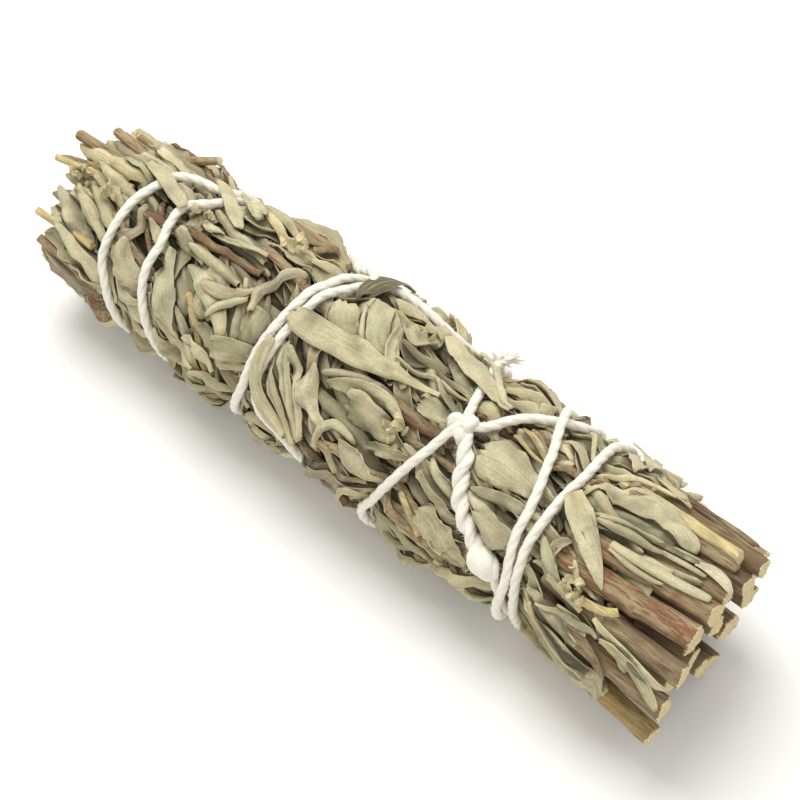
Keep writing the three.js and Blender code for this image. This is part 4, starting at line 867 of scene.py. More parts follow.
def sheet_faces(rows, cols):
    """Quads of a closed sheet: an upper grid, a lower grid and the rim between them."""
    index = np.arange(rows * cols).reshape(rows, cols)
    low = index + rows * cols
    top = np.stack([index[:-1, :-1], index[1:, :-1], index[1:, 1:], index[:-1, 1:]], -1)
    base = np.stack([low[:-1, :-1], low[:-1, 1:], low[1:, 1:], low[1:, :-1]], -1)
    rim = np.concatenate([index[:, 0], index[-1, 1:], index[-2::-1, -1], index[0, -2:0:-1]])
    after = np.roll(rim, -1)
    wall = np.stack([rim, rim + rows * cols, after + rows * cols, after], -1)
    return np.vstack([top.reshape(-1, 4), base.reshape(-1, 4), wall])


def tube_faces(rows, cols):
    """Quads of a tube of rings, and triangles that close its ends on two middle points."""
    index = np.arange(rows * cols).reshape(rows, cols)
    after = np.roll(index, -1, axis=1)
    quads = np.stack([index[:-1], after[:-1], after[1:], index[1:]], -1).reshape(-1, 4)
    first = np.full(cols, rows * cols)
    head = np.stack([first, after[0], index[0]], -1)
    tail = np.stack([first + 1, index[-1], after[-1]], -1)
    return quads, np.vstack([head, tail])


def leaf_shell(entry, thickness, curl):
    """Points, faces and values of one fine leaf."""
    form, lift = entry["form"], entry["lift"]
    length = len(entry["t"]) * CELL
    width = entry["width"]
    fine = ROWS_PER_MM.get(entry["layer"], OTHER_ROWS_PER_MM)
    rows = np.linspace(0, len(entry["t"]) - 1, max(10, int(length * fine)))
    rows = np.unique(rows.round().astype(int))
    s = entry["s"][rows]
    a = entry["a"][rows]
    h = entry["h"][rows]
    shape = entry["shape"][rows]
    full = entry["full"][rows]
    t = entry["t"][rows][:, None]
    v = entry["v"][None, :]
    if len(entry["v"]) > 9:
        keep = np.linspace(0, len(entry["v"]) - 1, 9).round().astype(int)
        s, a, h, shape, v = (x[:, keep] for x in (s, a, h, shape, v))
    cover = grid_at(kept["stack"], s, a) - (h + LEAF_THICK + np.maximum(shape, 0) * 0.8)
    free = 1 - smooth(0.05, 0.45, cover)
    phase = s.mean() * 1.7 + a.mean() * 0.31
    ripple = 0.3 if form == "t" else 1.0
    wave = ripple * (0.13 * np.sin(t * length * 0.8 + phase + 1.2 * v)
                     + 0.08 * np.sin(t * length * 1.9 - phase * 1.3 - 2.2 * v)
                     + 0.05 * np.sin(t * length * 3.3 + phase * 0.7 + 4.0 * v))
    side = np.where(v > 0, math.sin(phase * 2.3), math.cos(phase * 1.9))
    rim_rise = 0.0 if form in "rst" else curl / MM * np.clip(side, -0.3, 1) * np.abs(v) ** 3 * full
    end_rise = 1.3 * lift * smooth(0.8, 1.0, t) * (form != "t")
    rise = (h + LEAF_THICK * 0.5 - grid_at(kept["mean"], s, a) + shape
            + free * (wave + rim_rise + end_rise))
    gap = grid_at(twine_gap_grid(), s, a)
    most = 0.2 + 2.0 * smooth(0.9, 3.2, gap)
    soft = 0.7
    rise = np.where(rise > most - soft, most - soft * np.exp(-(rise - most + soft) / soft), rise)
    r = envelope(s, a) + rise
    if entry.get("over"):
        groove = GROOVE_DEPTH * np.exp(-((gap / GROOVE_REACH) ** 2))
        r = np.maximum(r, envelope(s, a) + groove + OVER_RISE * (1 - smooth(0.8, 4.2, gap)))
    if entry["layer"] == DRAWN_LAYER:
        r = np.maximum(r, grid_at(stem_roof(), s, a) + ROOF_GAP + 0.5 * np.maximum(shape, 0))
    half = 0.5 * thickness / MM * (1 - 0.35 * np.abs(v) ** 4)
    top = place(s, a, r + half)
    base = place(s, a, r - half)
    points = np.concatenate([top.reshape(-1, 3), base.reshape(-1, 3)])
    points[:, 2] = np.maximum(points[:, 2], LEAF_FLOOR_GAP * MM)
    # Painted shade: deep grows where other leaves cover this one and where it lies below its neighbours.
    below = smooth(0.1, 1.2, cover)
    sunk = smooth(0.5, 2.6, grid_at(kept["mean"], s, a) - h)
    each = {
        "tone": np.full(s.shape, entry["tone"]),
        "edge": np.broadcast_to(np.abs(v), s.shape),
        "deep": np.maximum(below, 0.7 * sunk),
        "along": np.broadcast_to(t, s.shape),
        "across": 0.5 * width * full * v + 3.7 * phase,
        "reach": np.broadcast_to(t * length, s.shape),
        "tint": np.full(s.shape, 0.5 if entry.get("over") else (abs(phase) * 0.618) % 1),
        "red": np.full(s.shape, 0.8 if form == "t" and entry["tone"] < 0.45 else 0.0),
        "cut": np.full(s.shape, 0.0),
    }
    values = {key: np.tile(value.ravel(), 2) for key, value in each.items()}
    return points, sheet_faces(*s.shape), values


def stem_roof():
    """Outer side of the cut stems, for the leaves that lie over them."""
    if "roof" not in kept:
        roof = np.zeros((GRID_ROWS, GRID_COLS))
        a = np.radians(np.arange(GRID_COLS) * COL_DEG)
        ends = settled_stems()
        for k, row in enumerate(CUT_STEMS):
            for i in range(GRID_ROWS):
                s = GRID_START + i * CELL
                if STEM_ROOT + 1 < s < row[1] + 0.5:
                    t = (s - STEM_ROOT) / (STEM_TIP - STEM_ROOT)
                    y, z = ends[k, 1] + (ends[k, 0] - ends[k, 1]) * t
                    r = math.hypot(y, z)
                    turn = a - math.atan2(-y, z)
                    inside = (STEM_FULLNESS * row[4]) ** 2 - (r * np.sin(turn)) ** 2
                    top = r * np.cos(turn) + np.sqrt(np.maximum(inside, 0))
                    roof[i] = np.maximum(roof[i], np.where((inside > 0) & (np.cos(turn) > 0), top, 0))
        for axis, reach in ((1, 2), (0, 2)):
            roof = np.max([np.roll(roof, d, axis=axis) for d in range(-reach, reach + 1)], axis=0)
        for _ in range(3):
            roof = sum(np.roll(roof, d, axis=1) for d in (-1, 0, 1)) / 3
            roof = sum(np.roll(roof, d, axis=0) for d in (-1, 0, 1)) / 3
        kept["roof"] = roof
    return kept["roof"]


def curled_bract(middle, out, draw):
    """A small cupped bract that curls over its own tip."""
    rows, cols = 9, 5
    t = np.linspace(0, 1, rows)[:, None]
    v = np.linspace(-1, 1, cols)[None, :]
    spin = 2 * math.pi * draw()
    ahead = np.cross(out, [1.0, 0.2, 0.1])
    ahead /= np.linalg.norm(ahead)
    other = np.cross(out, ahead)
    ahead, other = (math.cos(spin) * ahead + math.sin(spin) * other,
                    math.cos(spin) * other - math.sin(spin) * ahead)
    size = 0.8 + 0.6 * draw()
    arc = (1.6 + 1.4 * draw()) * t
    reach = size * np.sin(arc)
    rise = size * (1 - np.cos(arc)) * 0.9 + 0.25 * v ** 2
    wide = 0.55 * size * np.sin(np.pi * (0.12 + 0.8 * t))
    flat = (reach + 0 * v)[..., None] * ahead + (wide * v)[..., None] * other
    sheet = flat + (rise + 0 * v)[..., None] * out
    half = 0.16 * out
    points = np.concatenate([(sheet + half).reshape(-1, 3), (sheet - half).reshape(-1, 3)])
    return middle + points * MM, sheet_faces(rows, cols)


def end_blade(number, draw):
    """Points, faces and values of a folded leaf tip that fills the leafy end."""
    rows, cols = 9, 5
    t = np.linspace(0, 1, rows)[:, None]
    v = np.linspace(-1, 1, cols)[None, :]
    r = END_BLADE_REACH * math.sqrt((number + 0.5) / END_BLADES)
    tip = END_BLADE_TIP - 2.6 * draw()
    half_width = 0.8 + 1.1 * draw()
    turn = 2 * math.pi * draw()
    fold = 0.2 + 0.9 * draw()
    lean = 1.8 * (draw() - 0.5)
    across = half_width * (1 - t ** 5) ** 0.5 * v
    rise = fold * half_width * v ** 2 + lean * t ** 2
    middle = place(END_BLADE_ROOT + (tip - END_BLADE_ROOT) * t + 0 * v, END_BLADE_TURN * number, r)
    sides = []
    for half in (0.16, -0.16):
        off_y = across * math.cos(turn) - (rise + half) * math.sin(turn)
        off_z = across * math.sin(turn) + (rise + half) * math.cos(turn)
        sides.append((middle + MM * np.stack([0 * off_y, off_y, off_z], -1)).reshape(-1, 3))
    # Painted shade: deep is strongest at each tip's root, inside the leafy end, and fades towards its
    # tip.
    each = {"edge": np.abs(v) + 0 * t, "deep": 0.9 - 0.75 * t + 0 * v, "along": 0.3 + 0.6 * t + 0 * v,
            "across": across + number, "reach": 9 * t + 0 * v}
    values = {key: np.tile(value.ravel(), 2) for key, value in each.items()}
    values["tone"] = 0.2 + 0.7 * draw()
    values["tint"] = draw()
    return np.vstack(sides), sheet_faces(rows, cols), values


def core_radius(s, a):
    """Radius of the dark middle, which draws in at both ends."""
    far = 0.82 + 0.18 * smooth(CORE_START, CORE_START + 5, s)
    cut = 0.84 + 0.16 * (1 - smooth(CORE_END - 6, CORE_END, s))
    return (envelope(s, a) - CORE_DEPTH) * np.minimum(far, cut)


def closed_rings(rings):
    """Points, quads and triangles of rings joined in order and closed at both ends."""
    first = rings[0].mean(axis=0)
    last = rings[-1].mean(axis=0)
    every = np.stack([first + (rings[0] - first) * 0.5, *rings, last + (rings[-1] - last) * 0.5])
    points = np.vstack([every.reshape(-1, 3), first, last])
    return points, *tube_faces(*every.shape[:2])


# Twine routes


def ridden_route(route, earlier):
    """A route with how high it rides where it crosses itself or an earlier strand."""
    s, a = route
    ride = np.zeros(len(s))
    back = math.ceil(SELF_CROSS_MM / FINE_STEP)
    for i in range(len(s)):
        others = [earlier]
        if i > back:
            others.append(np.stack([s[:i - back], a[:i - back], ride[:i - back]]))
        for other in others:
            if other.shape[1] == 0:
                continue
            gap = np.hypot(s[i] - other[0], turn_between(a[i], other[1]) * DEG_MM)
            near = gap < CROSS_REACH
            if near.any():
                need = other[2][near] + np.sqrt(CROSS_REACH ** 2 - gap[near] ** 2)
                ride[i] = max(ride[i], need.max())
    eased = ride.copy()
    for d in range(-EASE_STEPS, EASE_STEPS + 1):
        other = ride[np.clip(np.arange(len(s)) + d, 0, len(s) - 1)]
        eased = np.maximum(eased, other * (1 - abs(d) / (EASE_STEPS + 1)))
    loose = np.hypot(s - LOOSE_END[0], turn_between(a, LOOSE_END[1]) * DEG_MM)
    eased = eased + LOOSE_LIFT * np.exp(-((loose / LOOSE_SPREAD) ** 2))
    return np.stack([s, a, eased])


def twine_points(ridden):
    """Middle line of a strand that lies on the leaves and above the floor."""
    s, a, ride = ridden
    kernel = np.array([1, 2, 3, 2, 1]) / 9
    lie = envelope(s, a) + TWINE_RADIUS - TWINE_PRESS + ride
    lie = np.convolve(np.pad(lie, 2, mode="edge"), kernel, mode="valid")
    drop = np.cos(np.radians(a))
    lowest = (AXIS_HEIGHT - TWINE_RADIUS - 0.15) / (FLAT * np.maximum(1e-6, -drop))
    r = np.where(drop < 0, np.minimum(lie, lowest), lie)
    return place(s, a, r)


def knot_points(knot):
    """A trefoil that stands for the tied knot."""
    s, a, size, lift, turn = knot
    middle = place(s, a, float(envelope(np.array(s), np.array(a))) + lift)
    out = outward(np.array(float(a)))
    angle = math.radians(a)
    side = np.array([0, -math.cos(angle), -math.sin(angle)])
    along = np.array([1.0, 0, 0])
    w = np.linspace(0, 2 * np.pi, 72, endpoint=False)
    x = (np.sin(w) + 1.6 * np.sin(2 * w)) * 0.42 * size
    y = (np.cos(w) - 1.6 * np.cos(2 * w)) * 0.42 * size
    z = -np.sin(3 * w) * 0.42 * size
    spin = math.radians(turn)
    return (middle + MM * ((x * math.cos(spin) - y * math.sin(spin))[:, None] * along
                           + (x * math.sin(spin) + y * math.cos(spin))[:, None] * side
                           + z[:, None] * out))


def cotton_puff():
    """The teased-out ball: its middle line and how thick it is along it."""
    t = np.linspace(0, 1, 17)
    s, a = (PUFF[0][k] + (PUFF[1][k] - PUFF[0][k]) * t for k in (0, 1))
    fat = 0.7 + 2.2 * np.sin(np.pi * t) ** 0.8
    return place(s, a, envelope(s, a) + 0.6 + 0.42 * fat), fat, False


def frayed_end():
    """Fine strands that stand up loose where the twine ends."""
    draw = seeded_random(LEAF_SEED + 9)
    s, a = LOOSE_END
    start = place(s, a, float(envelope(np.array(s), np.array(a))) + LOOSE_LIFT + 0.6)
    out = outward(np.array(float(a)))
    side = np.cross(out, [1.0, 0, 0])
    strands = []
    t = np.linspace(0, 1, 12)[:, None]
    for _ in range(LOOSE_STRANDS):
        lean = (draw() - 0.5) * 1.3
        turn = (draw() - 0.5) * 1.3
        length = 1.5 + 1.5 * draw()
        way = out * 0.9 + np.array([lean, 0, 0]) + side * turn
        hook = np.array([draw() - 0.3, draw() - 0.5, draw() - 0.7]) * 2.2
        points = start + MM * (length * way * t + hook * t ** 2)
        strands.append((points, (0.46 + 0.4 * draw()) * (1.2 - t[:, 0]), False))
    return strands


def cord_strands(ridden):
    """The two strands that twist round each other."""
    s, a, ride = ridden
    middle = place(s, a, envelope(s, a) + ride + CORD_OFFSET + 0.35)
    walked = walked_along(middle) / MM
    fine = np.linspace(0, walked[-1], int(walked[-1] / 0.4))
    middle = np.stack([np.interp(fine, walked, middle[:, k]) for k in range(3)], -1)
    a = np.interp(fine, walked, a)
    out = outward(a)
    ahead = np.gradient(middle, axis=0)
    ahead /= np.linalg.norm(ahead, axis=1, keepdims=True)
    side = np.cross(ahead, out)
    spin = 2 * np.pi * fine / CORD_PITCH
    return [middle + CORD_OFFSET * MM * (np.cos(spin + phase)[:, None] * out
                                         + np.sin(spin + phase)[:, None] * side)
            for phase in (0, math.pi)]


# Stems


def settled_stems():
    """Where the stems' tips and roots lie across the bundle once none overlaps another."""
    radii = [row[4] for row in CUT_STEMS]
    ends = np.array([[[-r * math.sin(math.radians(a)), r * math.cos(math.radians(a))]
                      for a, r in row[2:4]] for row in CUT_STEMS])
    for _ in range(60):
        for which in (0, 1):
            for i in range(len(radii)):
                for j in range(i):
                    p = ends[i, which]
                    q = ends[j, which]
                    gap = math.hypot(p[0] - q[0], p[1] - q[1])
                    need = (radii[i] + radii[j] + STEM_GAP) / FLAT
                    if gap < need:
                        push = (p - q) * (0.5 * (need - gap) / gap)
                        p += push
                        q -= push
    return ends


def rod_frames(points):
    """Two unit ways across a path at each point, carried along it without twist."""
    ahead = np.gradient(points, axis=0)
    ahead /= np.linalg.norm(ahead, axis=1, keepdims=True)
    side = np.zeros_like(points)
    now = np.array([0.0, 0, 1])
    if abs(ahead[0] @ now) > 0.9:
        now = np.array([0.0, 1, 0])
    for i, way in enumerate(ahead):
        now = now - way * (now @ way)
        now = now / np.linalg.norm(now)
        side[i] = now
    return side, np.cross(ahead, side)


def rod_shell(points, radii, seed, tone, red):
    """A barked rod with ridges, a swollen joint and a ragged cut end."""
    draw = seeded_random(seed)
    for _ in range(5):
        draw()
    side, other = rod_frames(points)
    walked = walked_along(points) / MM
    turn = 2 * np.pi * np.arange(ROD_SIDES) / ROD_SIDES
    phases = [2 * np.pi * draw() for _ in range(8)]
    twist = 0.03 * (draw() - 0.5)
    angle = turn[None, :] + walked[:, None] * twist
    ridge = (0.045 * np.cos(4 * angle + phases[0]) + 0.03 * np.cos(7 * angle + phases[1])
             + 0.02 * np.cos(11 * angle + phases[2] + 0.4 * np.sin(walked[:, None] * 0.7)))
    knobbly = 0.035 * np.sin(walked[:, None] * 1.1 + 2 * turn[None, :] + phases[3])
    joint_at = (0.25 + 0.4 * draw()) * walked[-1]
    swell = 0.1 * np.exp(-(((walked - joint_at) / 0.9) ** 2))[:, None]
    shape = radii[:, None] * (0.95 + ridge + knobbly * 0.6 + swell)
    across = (np.cos(turn)[None, :, None] * side[:, None, :]
              + np.sin(turn)[None, :, None] * other[:, None, :])
    rings = points[:, None, :] + shape[..., None] * across
    ahead = points[-1] - points[-2]
    ahead = ahead / np.linalg.norm(ahead)
    slant = 0.35 * (draw() - 0.3)
    ragged = (0.3 * np.sin(2 * turn + phases[5]) + 0.16 * np.sin(3 * turn + phases[6])
              + 0.08 * np.sin(7 * turn + phases[7]))
    from_end = walked[-1] - walked
    peel = (0.25 + 0.5 * np.sin(turn * 2 + phases[4]) ** 2)[None, :]
    cut = np.clip(1.1 - from_end[:, None] / (1.3 * peel), 0, 1) * 0.8
    for k, weight in ((-1, 1.0), (-2, 0.5)):
        reach = radii[-1] * (slant * np.cos(turn + phases[4]) + 0.22 * ragged) * weight
        rings[k] = rings[k] + reach[:, None] * ahead
    middle = rings[-1].mean(axis=0)
    caps = []
    cap_cut = []
    for k, dip in ((0.95, -0.04), (0.72, 0.03), (0.45, -0.05), (0.2, 0.06)):
        bumps = 0.05 * np.sin(7 * turn + 9 * k + phases[6]) * k
        ring = middle + (rings[-1] - middle) * k - ahead * radii[-1] * (dip + bumps)[:, None]
        caps.append(ring)
        cap_cut.append(np.full(ROD_SIDES, 1.0))
    every = np.concatenate([rings, np.stack(caps)])
    cut = np.concatenate([cut, np.stack(cap_cut)])
    cut[-len(caps) - 1] = 0.7
    ends = [rings[0].mean(axis=0), middle - ahead * radii[-1] * 0.1]
    values = {"cut": np.append(cut.ravel(), [0.0, 0.8]), "tone": tone, "red": red}
    return np.vstack([every.reshape(-1, 3), ends]), *tube_faces(len(every), ROD_SIDES), values


# Materials


def add_node(tree, kind, inputs=None, stops=None, **settings):
    """Adds a node with its settings; an input takes a value, a socket or a node's first output."""
    made = tree.nodes.new(kind)
    for key, value in settings.items():
        setattr(made, key, value)
    for key, value in (inputs or {}).items():
        if isinstance(value, bpy.types.Node):
            value = value.outputs[0]
        if isinstance(value, bpy.types.NodeSocket):
            tree.links.new(value, made.inputs[key])
        else:
            made.inputs[key].default_value = value
    if stops:
        band = made.color_ramp.elements
        band[0].position, band[0].color = stops[0]
        band[1].position, band[1].color = stops[-1]
        for at, colour in stops[1:-1]:
            band.new(at).color = colour
    return made


def scaled(colour, k):
    return [c * k for c in colour[:3]] + [1.0]


def start_material(name, patterns, attributes=()):
    """A new material, its tree, and by name its attributes and its noise patterns.

    A pattern is its size in mm, its detail, its roughness and how far it is drawn out along X.
    """
    made = bpy.data.materials.new(name)
    made.use_nodes = True
    tree = made.node_tree
    tree.nodes.clear()
    fields = {key: add_node(tree, "ShaderNodeAttribute", attribute_name=key).outputs["Fac"]
              for key in attributes}
    spot = add_node(tree, "ShaderNodeTexCoord").outputs["Object"]
    for key, (size, detail, rough, drawn) in patterns.items():
        laid = add_node(tree, "ShaderNodeMapping", {"Vector": spot, "Scale": (1 / drawn, 1, 1)})
        fields[key] = add_node(tree, "ShaderNodeTexNoise", {
            "Vector": laid, "Scale": 1 / (size * MM), "Detail": detail, "Roughness": rough})
    return made, tree, fields


def painted(tree, base, coats):
    """Coats over a base colour, each a mask, how strong it is at which mask values, and a colour."""
    for mask, strengths, colour in coats:
        through = add_node(tree, "ShaderNodeValToRGB", {"Fac": mask},
                           [(at, [k, k, k, 1.0]) for at, k in strengths])
        base = add_node(tree, "ShaderNodeMix", {0: through, 6: base, 7: colour},
                        data_type="RGBA").outputs[2]
    return base


def finished(made, tree, colour, bumps, finish):
    """Bumps in order, each a height, its depth in mm and its strength, then the shader."""
    surface = {"Base Color": colour, **finish}
    for height, depth, strength in bumps:
        inputs = {"Height": height, "Distance": depth * MM, "Strength": strength}
        if "Normal" in surface:
            inputs["Normal"] = surface["Normal"]
        surface["Normal"] = add_node(tree, "ShaderNodeBump", inputs)
    shader = add_node(tree, "ShaderNodeBsdfPrincipled", surface)
    add_node(tree, "ShaderNodeOutputMaterial", {"Surface": shader})
    return made


def sage_leaf_material(s):
    # Dry sage leaf: matt and downy, grey-green, with fine veins along it and a straw base, and painted
    # shade where it lies under other leaves or sinks among them.
    made, tree, f = start_material(
        "dry_sage_leaf", {"cloudy": (3.6, 4.0, 0.55, 1), "felt": (0.36, 3.0, 0.65, 1)},
        ("tone", "edge", "deep", "along", "across", "reach", "tint"))
    sage, pale, deep, straw = (list(c) for c in (s.sage, s.pale, s.deep, s.straw))
    vein_place = add_node(tree, "ShaderNodeCombineXYZ", {
        "X": add_node(tree, "ShaderNodeMath", {0: f["across"], 1: 3.2}, operation="MULTIPLY"),
        "Y": add_node(tree, "ShaderNodeMath", {0: f["reach"], 1: 0.16}, operation="MULTIPLY")})
    veins = add_node(tree, "ShaderNodeTexNoise", {
        "Vector": vein_place, "Scale": 1.0, "Detail": 3.0, "Roughness": 0.6},
        noise_dimensions="2D")
    base = add_node(tree, "ShaderNodeValToRGB", {"Fac": f["tone"]}, [
        (0.0, scaled(deep, 0.5)), (0.2, scaled(sage, 0.7)), (0.5, sage), (0.8, pale),
        (1.0, straw)])
    base = painted(tree, base, [
        (f["tint"], [(0.05, 0.5), (0.3, 0.0)], linear("#A9AE8B")),
        (f["tint"], [(0.7, 0.0), (0.95, 0.6)], linear("#AFA08C")),
        (f["cloudy"], [(0.42, 0.0), (0.72, 0.42)], deep),
        (f["cloudy"], [(0.25, 0.4), (0.42, 0.0)], scaled(straw, 0.9)),
        (veins, [(0.5, 0.0), (0.68, 0.22)], straw),
        (veins, [(0.28, 0.34), (0.44, 0.0)], scaled(deep, 0.8)),
        (f["felt"], [(0.3, 0.35), (0.6, 0.0)], scaled(deep, 0.9)),
        (f["edge"], [(0.86, 0.0), (1.0, 0.32)], straw),
        (f["edge"], [(0.0, 0.2), (0.1, 0.0)], straw),
        (f["along"], [(0.0, 0.75), (0.3, 0.0)], scaled(straw, 0.88)),
        # Painted shade: the deep value darkens leaves that lie under others or below their neighbours.
        (f["deep"], [(0.0, 0.0), (1.0, 0.8)], scaled(deep, 0.34))])
    return finished(made, tree, base,
                    [(veins, 0.1, 0.8), (f["cloudy"], 0.4, 0.7), (f["felt"], 0.06, 0.9)],
                    {"Roughness": 0.86, "Specular IOR Level": 0.25, "Sheen Weight": 0.1,
                     "Sheen Roughness": 0.5})


def shaded_middle_material(_):
    # Packed dry leaf seen through gaps: dusty and brown-grey, painted quite dark as the shade deep among
    # the leaves.
    made, tree, f = start_material("packed_leaf_painted_shade", {"specks": (1.6, 5.0, 0.65, 2.5)})
    base = add_node(tree, "ShaderNodeValToRGB", {"Fac": f["specks"]}, [
        (0.3, linear("#2A261C")), (0.55, linear("#474231")), (0.8, linear("#6F6A4B"))])
    return finished(made, tree, base, [(f["specks"], 0.9, 1.0)],
                    {"Roughness": 0.95, "Specular IOR Level": 0.1})


def bark_material(s):
    # Dry sage stem: matt bark with fine cracks along it and red streaks, and pale woody cuts.
    made, tree, f = start_material(
        "sage_stem_bark", {
            "cracks": (0.3, 4.0, 0.65, 14), "grain": (0.6, 5.0, 0.7, 9), "broad": (1.7, 3.0, 0.55, 5),
            "patch": (2.4, 4.0, 0.6, 2.2), "blotch": (0.75, 4.0, 0.65, 6), "wood": (0.4, 4.0, 0.6, 1)},
        ("tone", "red", "cut"))
    bark, dark, red, peeled, pith = (list(c) for c in (s.bark, s.dark_bark, s.red_bark, s.peeled,
                                                       s.pith))
    base = add_node(tree, "ShaderNodeValToRGB", {"Fac": f["tone"]}, [
        (0.0, scaled(dark, 0.7)), (0.3, dark), (0.52, bark), (0.72, scaled(bark, 1.3)),
        (0.86, linear("#B89B63")), (1.0, peeled)])
    barked = add_node(tree, "ShaderNodeMapRange", {
        "Value": f["tone"], "From Min": 0.84, "From Max": 0.97, "To Min": 1.0, "To Max": 0.3})
    cracked = add_node(tree, "ShaderNodeMath", {
        0: add_node(tree, "ShaderNodeValToRGB", {"Fac": f["cracks"]}, [
            (0.34, [1, 1, 1, 1]), (0.5, [0, 0, 0, 1])]), 1: barked}, operation="MULTIPLY")
    streaks = add_node(tree, "ShaderNodeValToRGB", {"Fac": f["blotch"]}, [
        (0.52, [0, 0, 0, 1]), (0.58, [1, 1, 1, 1])])
    redness = add_node(tree, "ShaderNodeMath", {0: streaks, 1: f["red"]}, operation="MULTIPLY")
    base = painted(tree, base, [
        (f["grain"], [(0.36, 0.5), (0.56, 0.0)], scaled(dark, 0.9)),
        (f["broad"], [(0.48, 0.0), (0.7, 0.6)], linear("#C2B08A")),
        (f["patch"], [(0.5, 0.0), (0.7, 0.45)], linear("#8F8665")),
        (redness, [(0.0, 0.0), (1.0, 0.85)], red),
        (cracked, [(0.0, 0.0), (1.0, 0.8)], scaled(dark, 0.5))])
    wood = add_node(tree, "ShaderNodeValToRGB", {"Fac": f["wood"]}, [
        (0.3, scaled(pith, 0.55)), (0.42, scaled(pith, 0.92)), (0.6, pith),
        (0.8, scaled(pith, 1.15))])
    sawn = add_node(tree, "ShaderNodeMath", {
        0: f["wood"], 1: 0.35,
        2: add_node(tree, "ShaderNodeMath", {0: f["cut"], 1: 0.5}, operation="MULTIPLY")},
        operation="MULTIPLY_ADD")
    base = painted(tree, base, [(sawn, [(0.46, 0.0), (0.52, 1.0)], wood)])
    return finished(made, tree, base, [(f["cracks"], 0.14, 1.0), (f["grain"], 0.2, 0.8),
                                       (f["wood"], 0.05, 0.6)],
                    {"Roughness": 0.82, "Specular IOR Level": 0.25})


def cotton_material(s):
    # Soft undyed cotton twine: off-white and matt, with fine fibres along the plies.
    made, tree, f = start_material(
        "cotton_twine", {"soft": (0.9, 3.0, 0.55, 1), "fibre": (0.16, 3.0, 0.7, 1)})
    base = painted(tree, list(s.cotton), [
        (f["soft"], [(0.35, 0.35), (0.65, 0.0)], linear("#DCD5C0")),
        (f["fibre"], [(0.3, 0.3), (0.55, 0.0)], linear("#CFC7B0"))])
    return finished(made, tree, base, [(f["fibre"], 0.05, 0.8)],
                    {"Roughness": 0.9, "Specular IOR Level": 0.2, "Sheen Weight": 0.35,
                     "Sheen Roughness": 0.4})


def floor_material(s):
    # Smooth matt paper.
    made, tree, f = start_material("studio_paper", {"tooth": (0.8, 2.0, 0.55, 1)})
    return finished(made, tree, list(s.floor), [(f["tooth"], 0.01, 0.3)],
                    {"Roughness": 0.9, "Specular IOR Level": 0.1})


def material(name, make, settings):
    found = bpy.data.materials.get(name)
    return found or make(settings)


def dress(piece, made, slot, *nodes):
    """Gives a piece its material and its body, and hides the nodes that it replaces. The slot is not
    used.
    """
    piece.data.materials.clear()
    piece.data.materials.append(made)
    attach(piece, "root")
    if nodes:
        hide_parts(*nodes)
    return piece


# Twine as a node tree that follows the routes


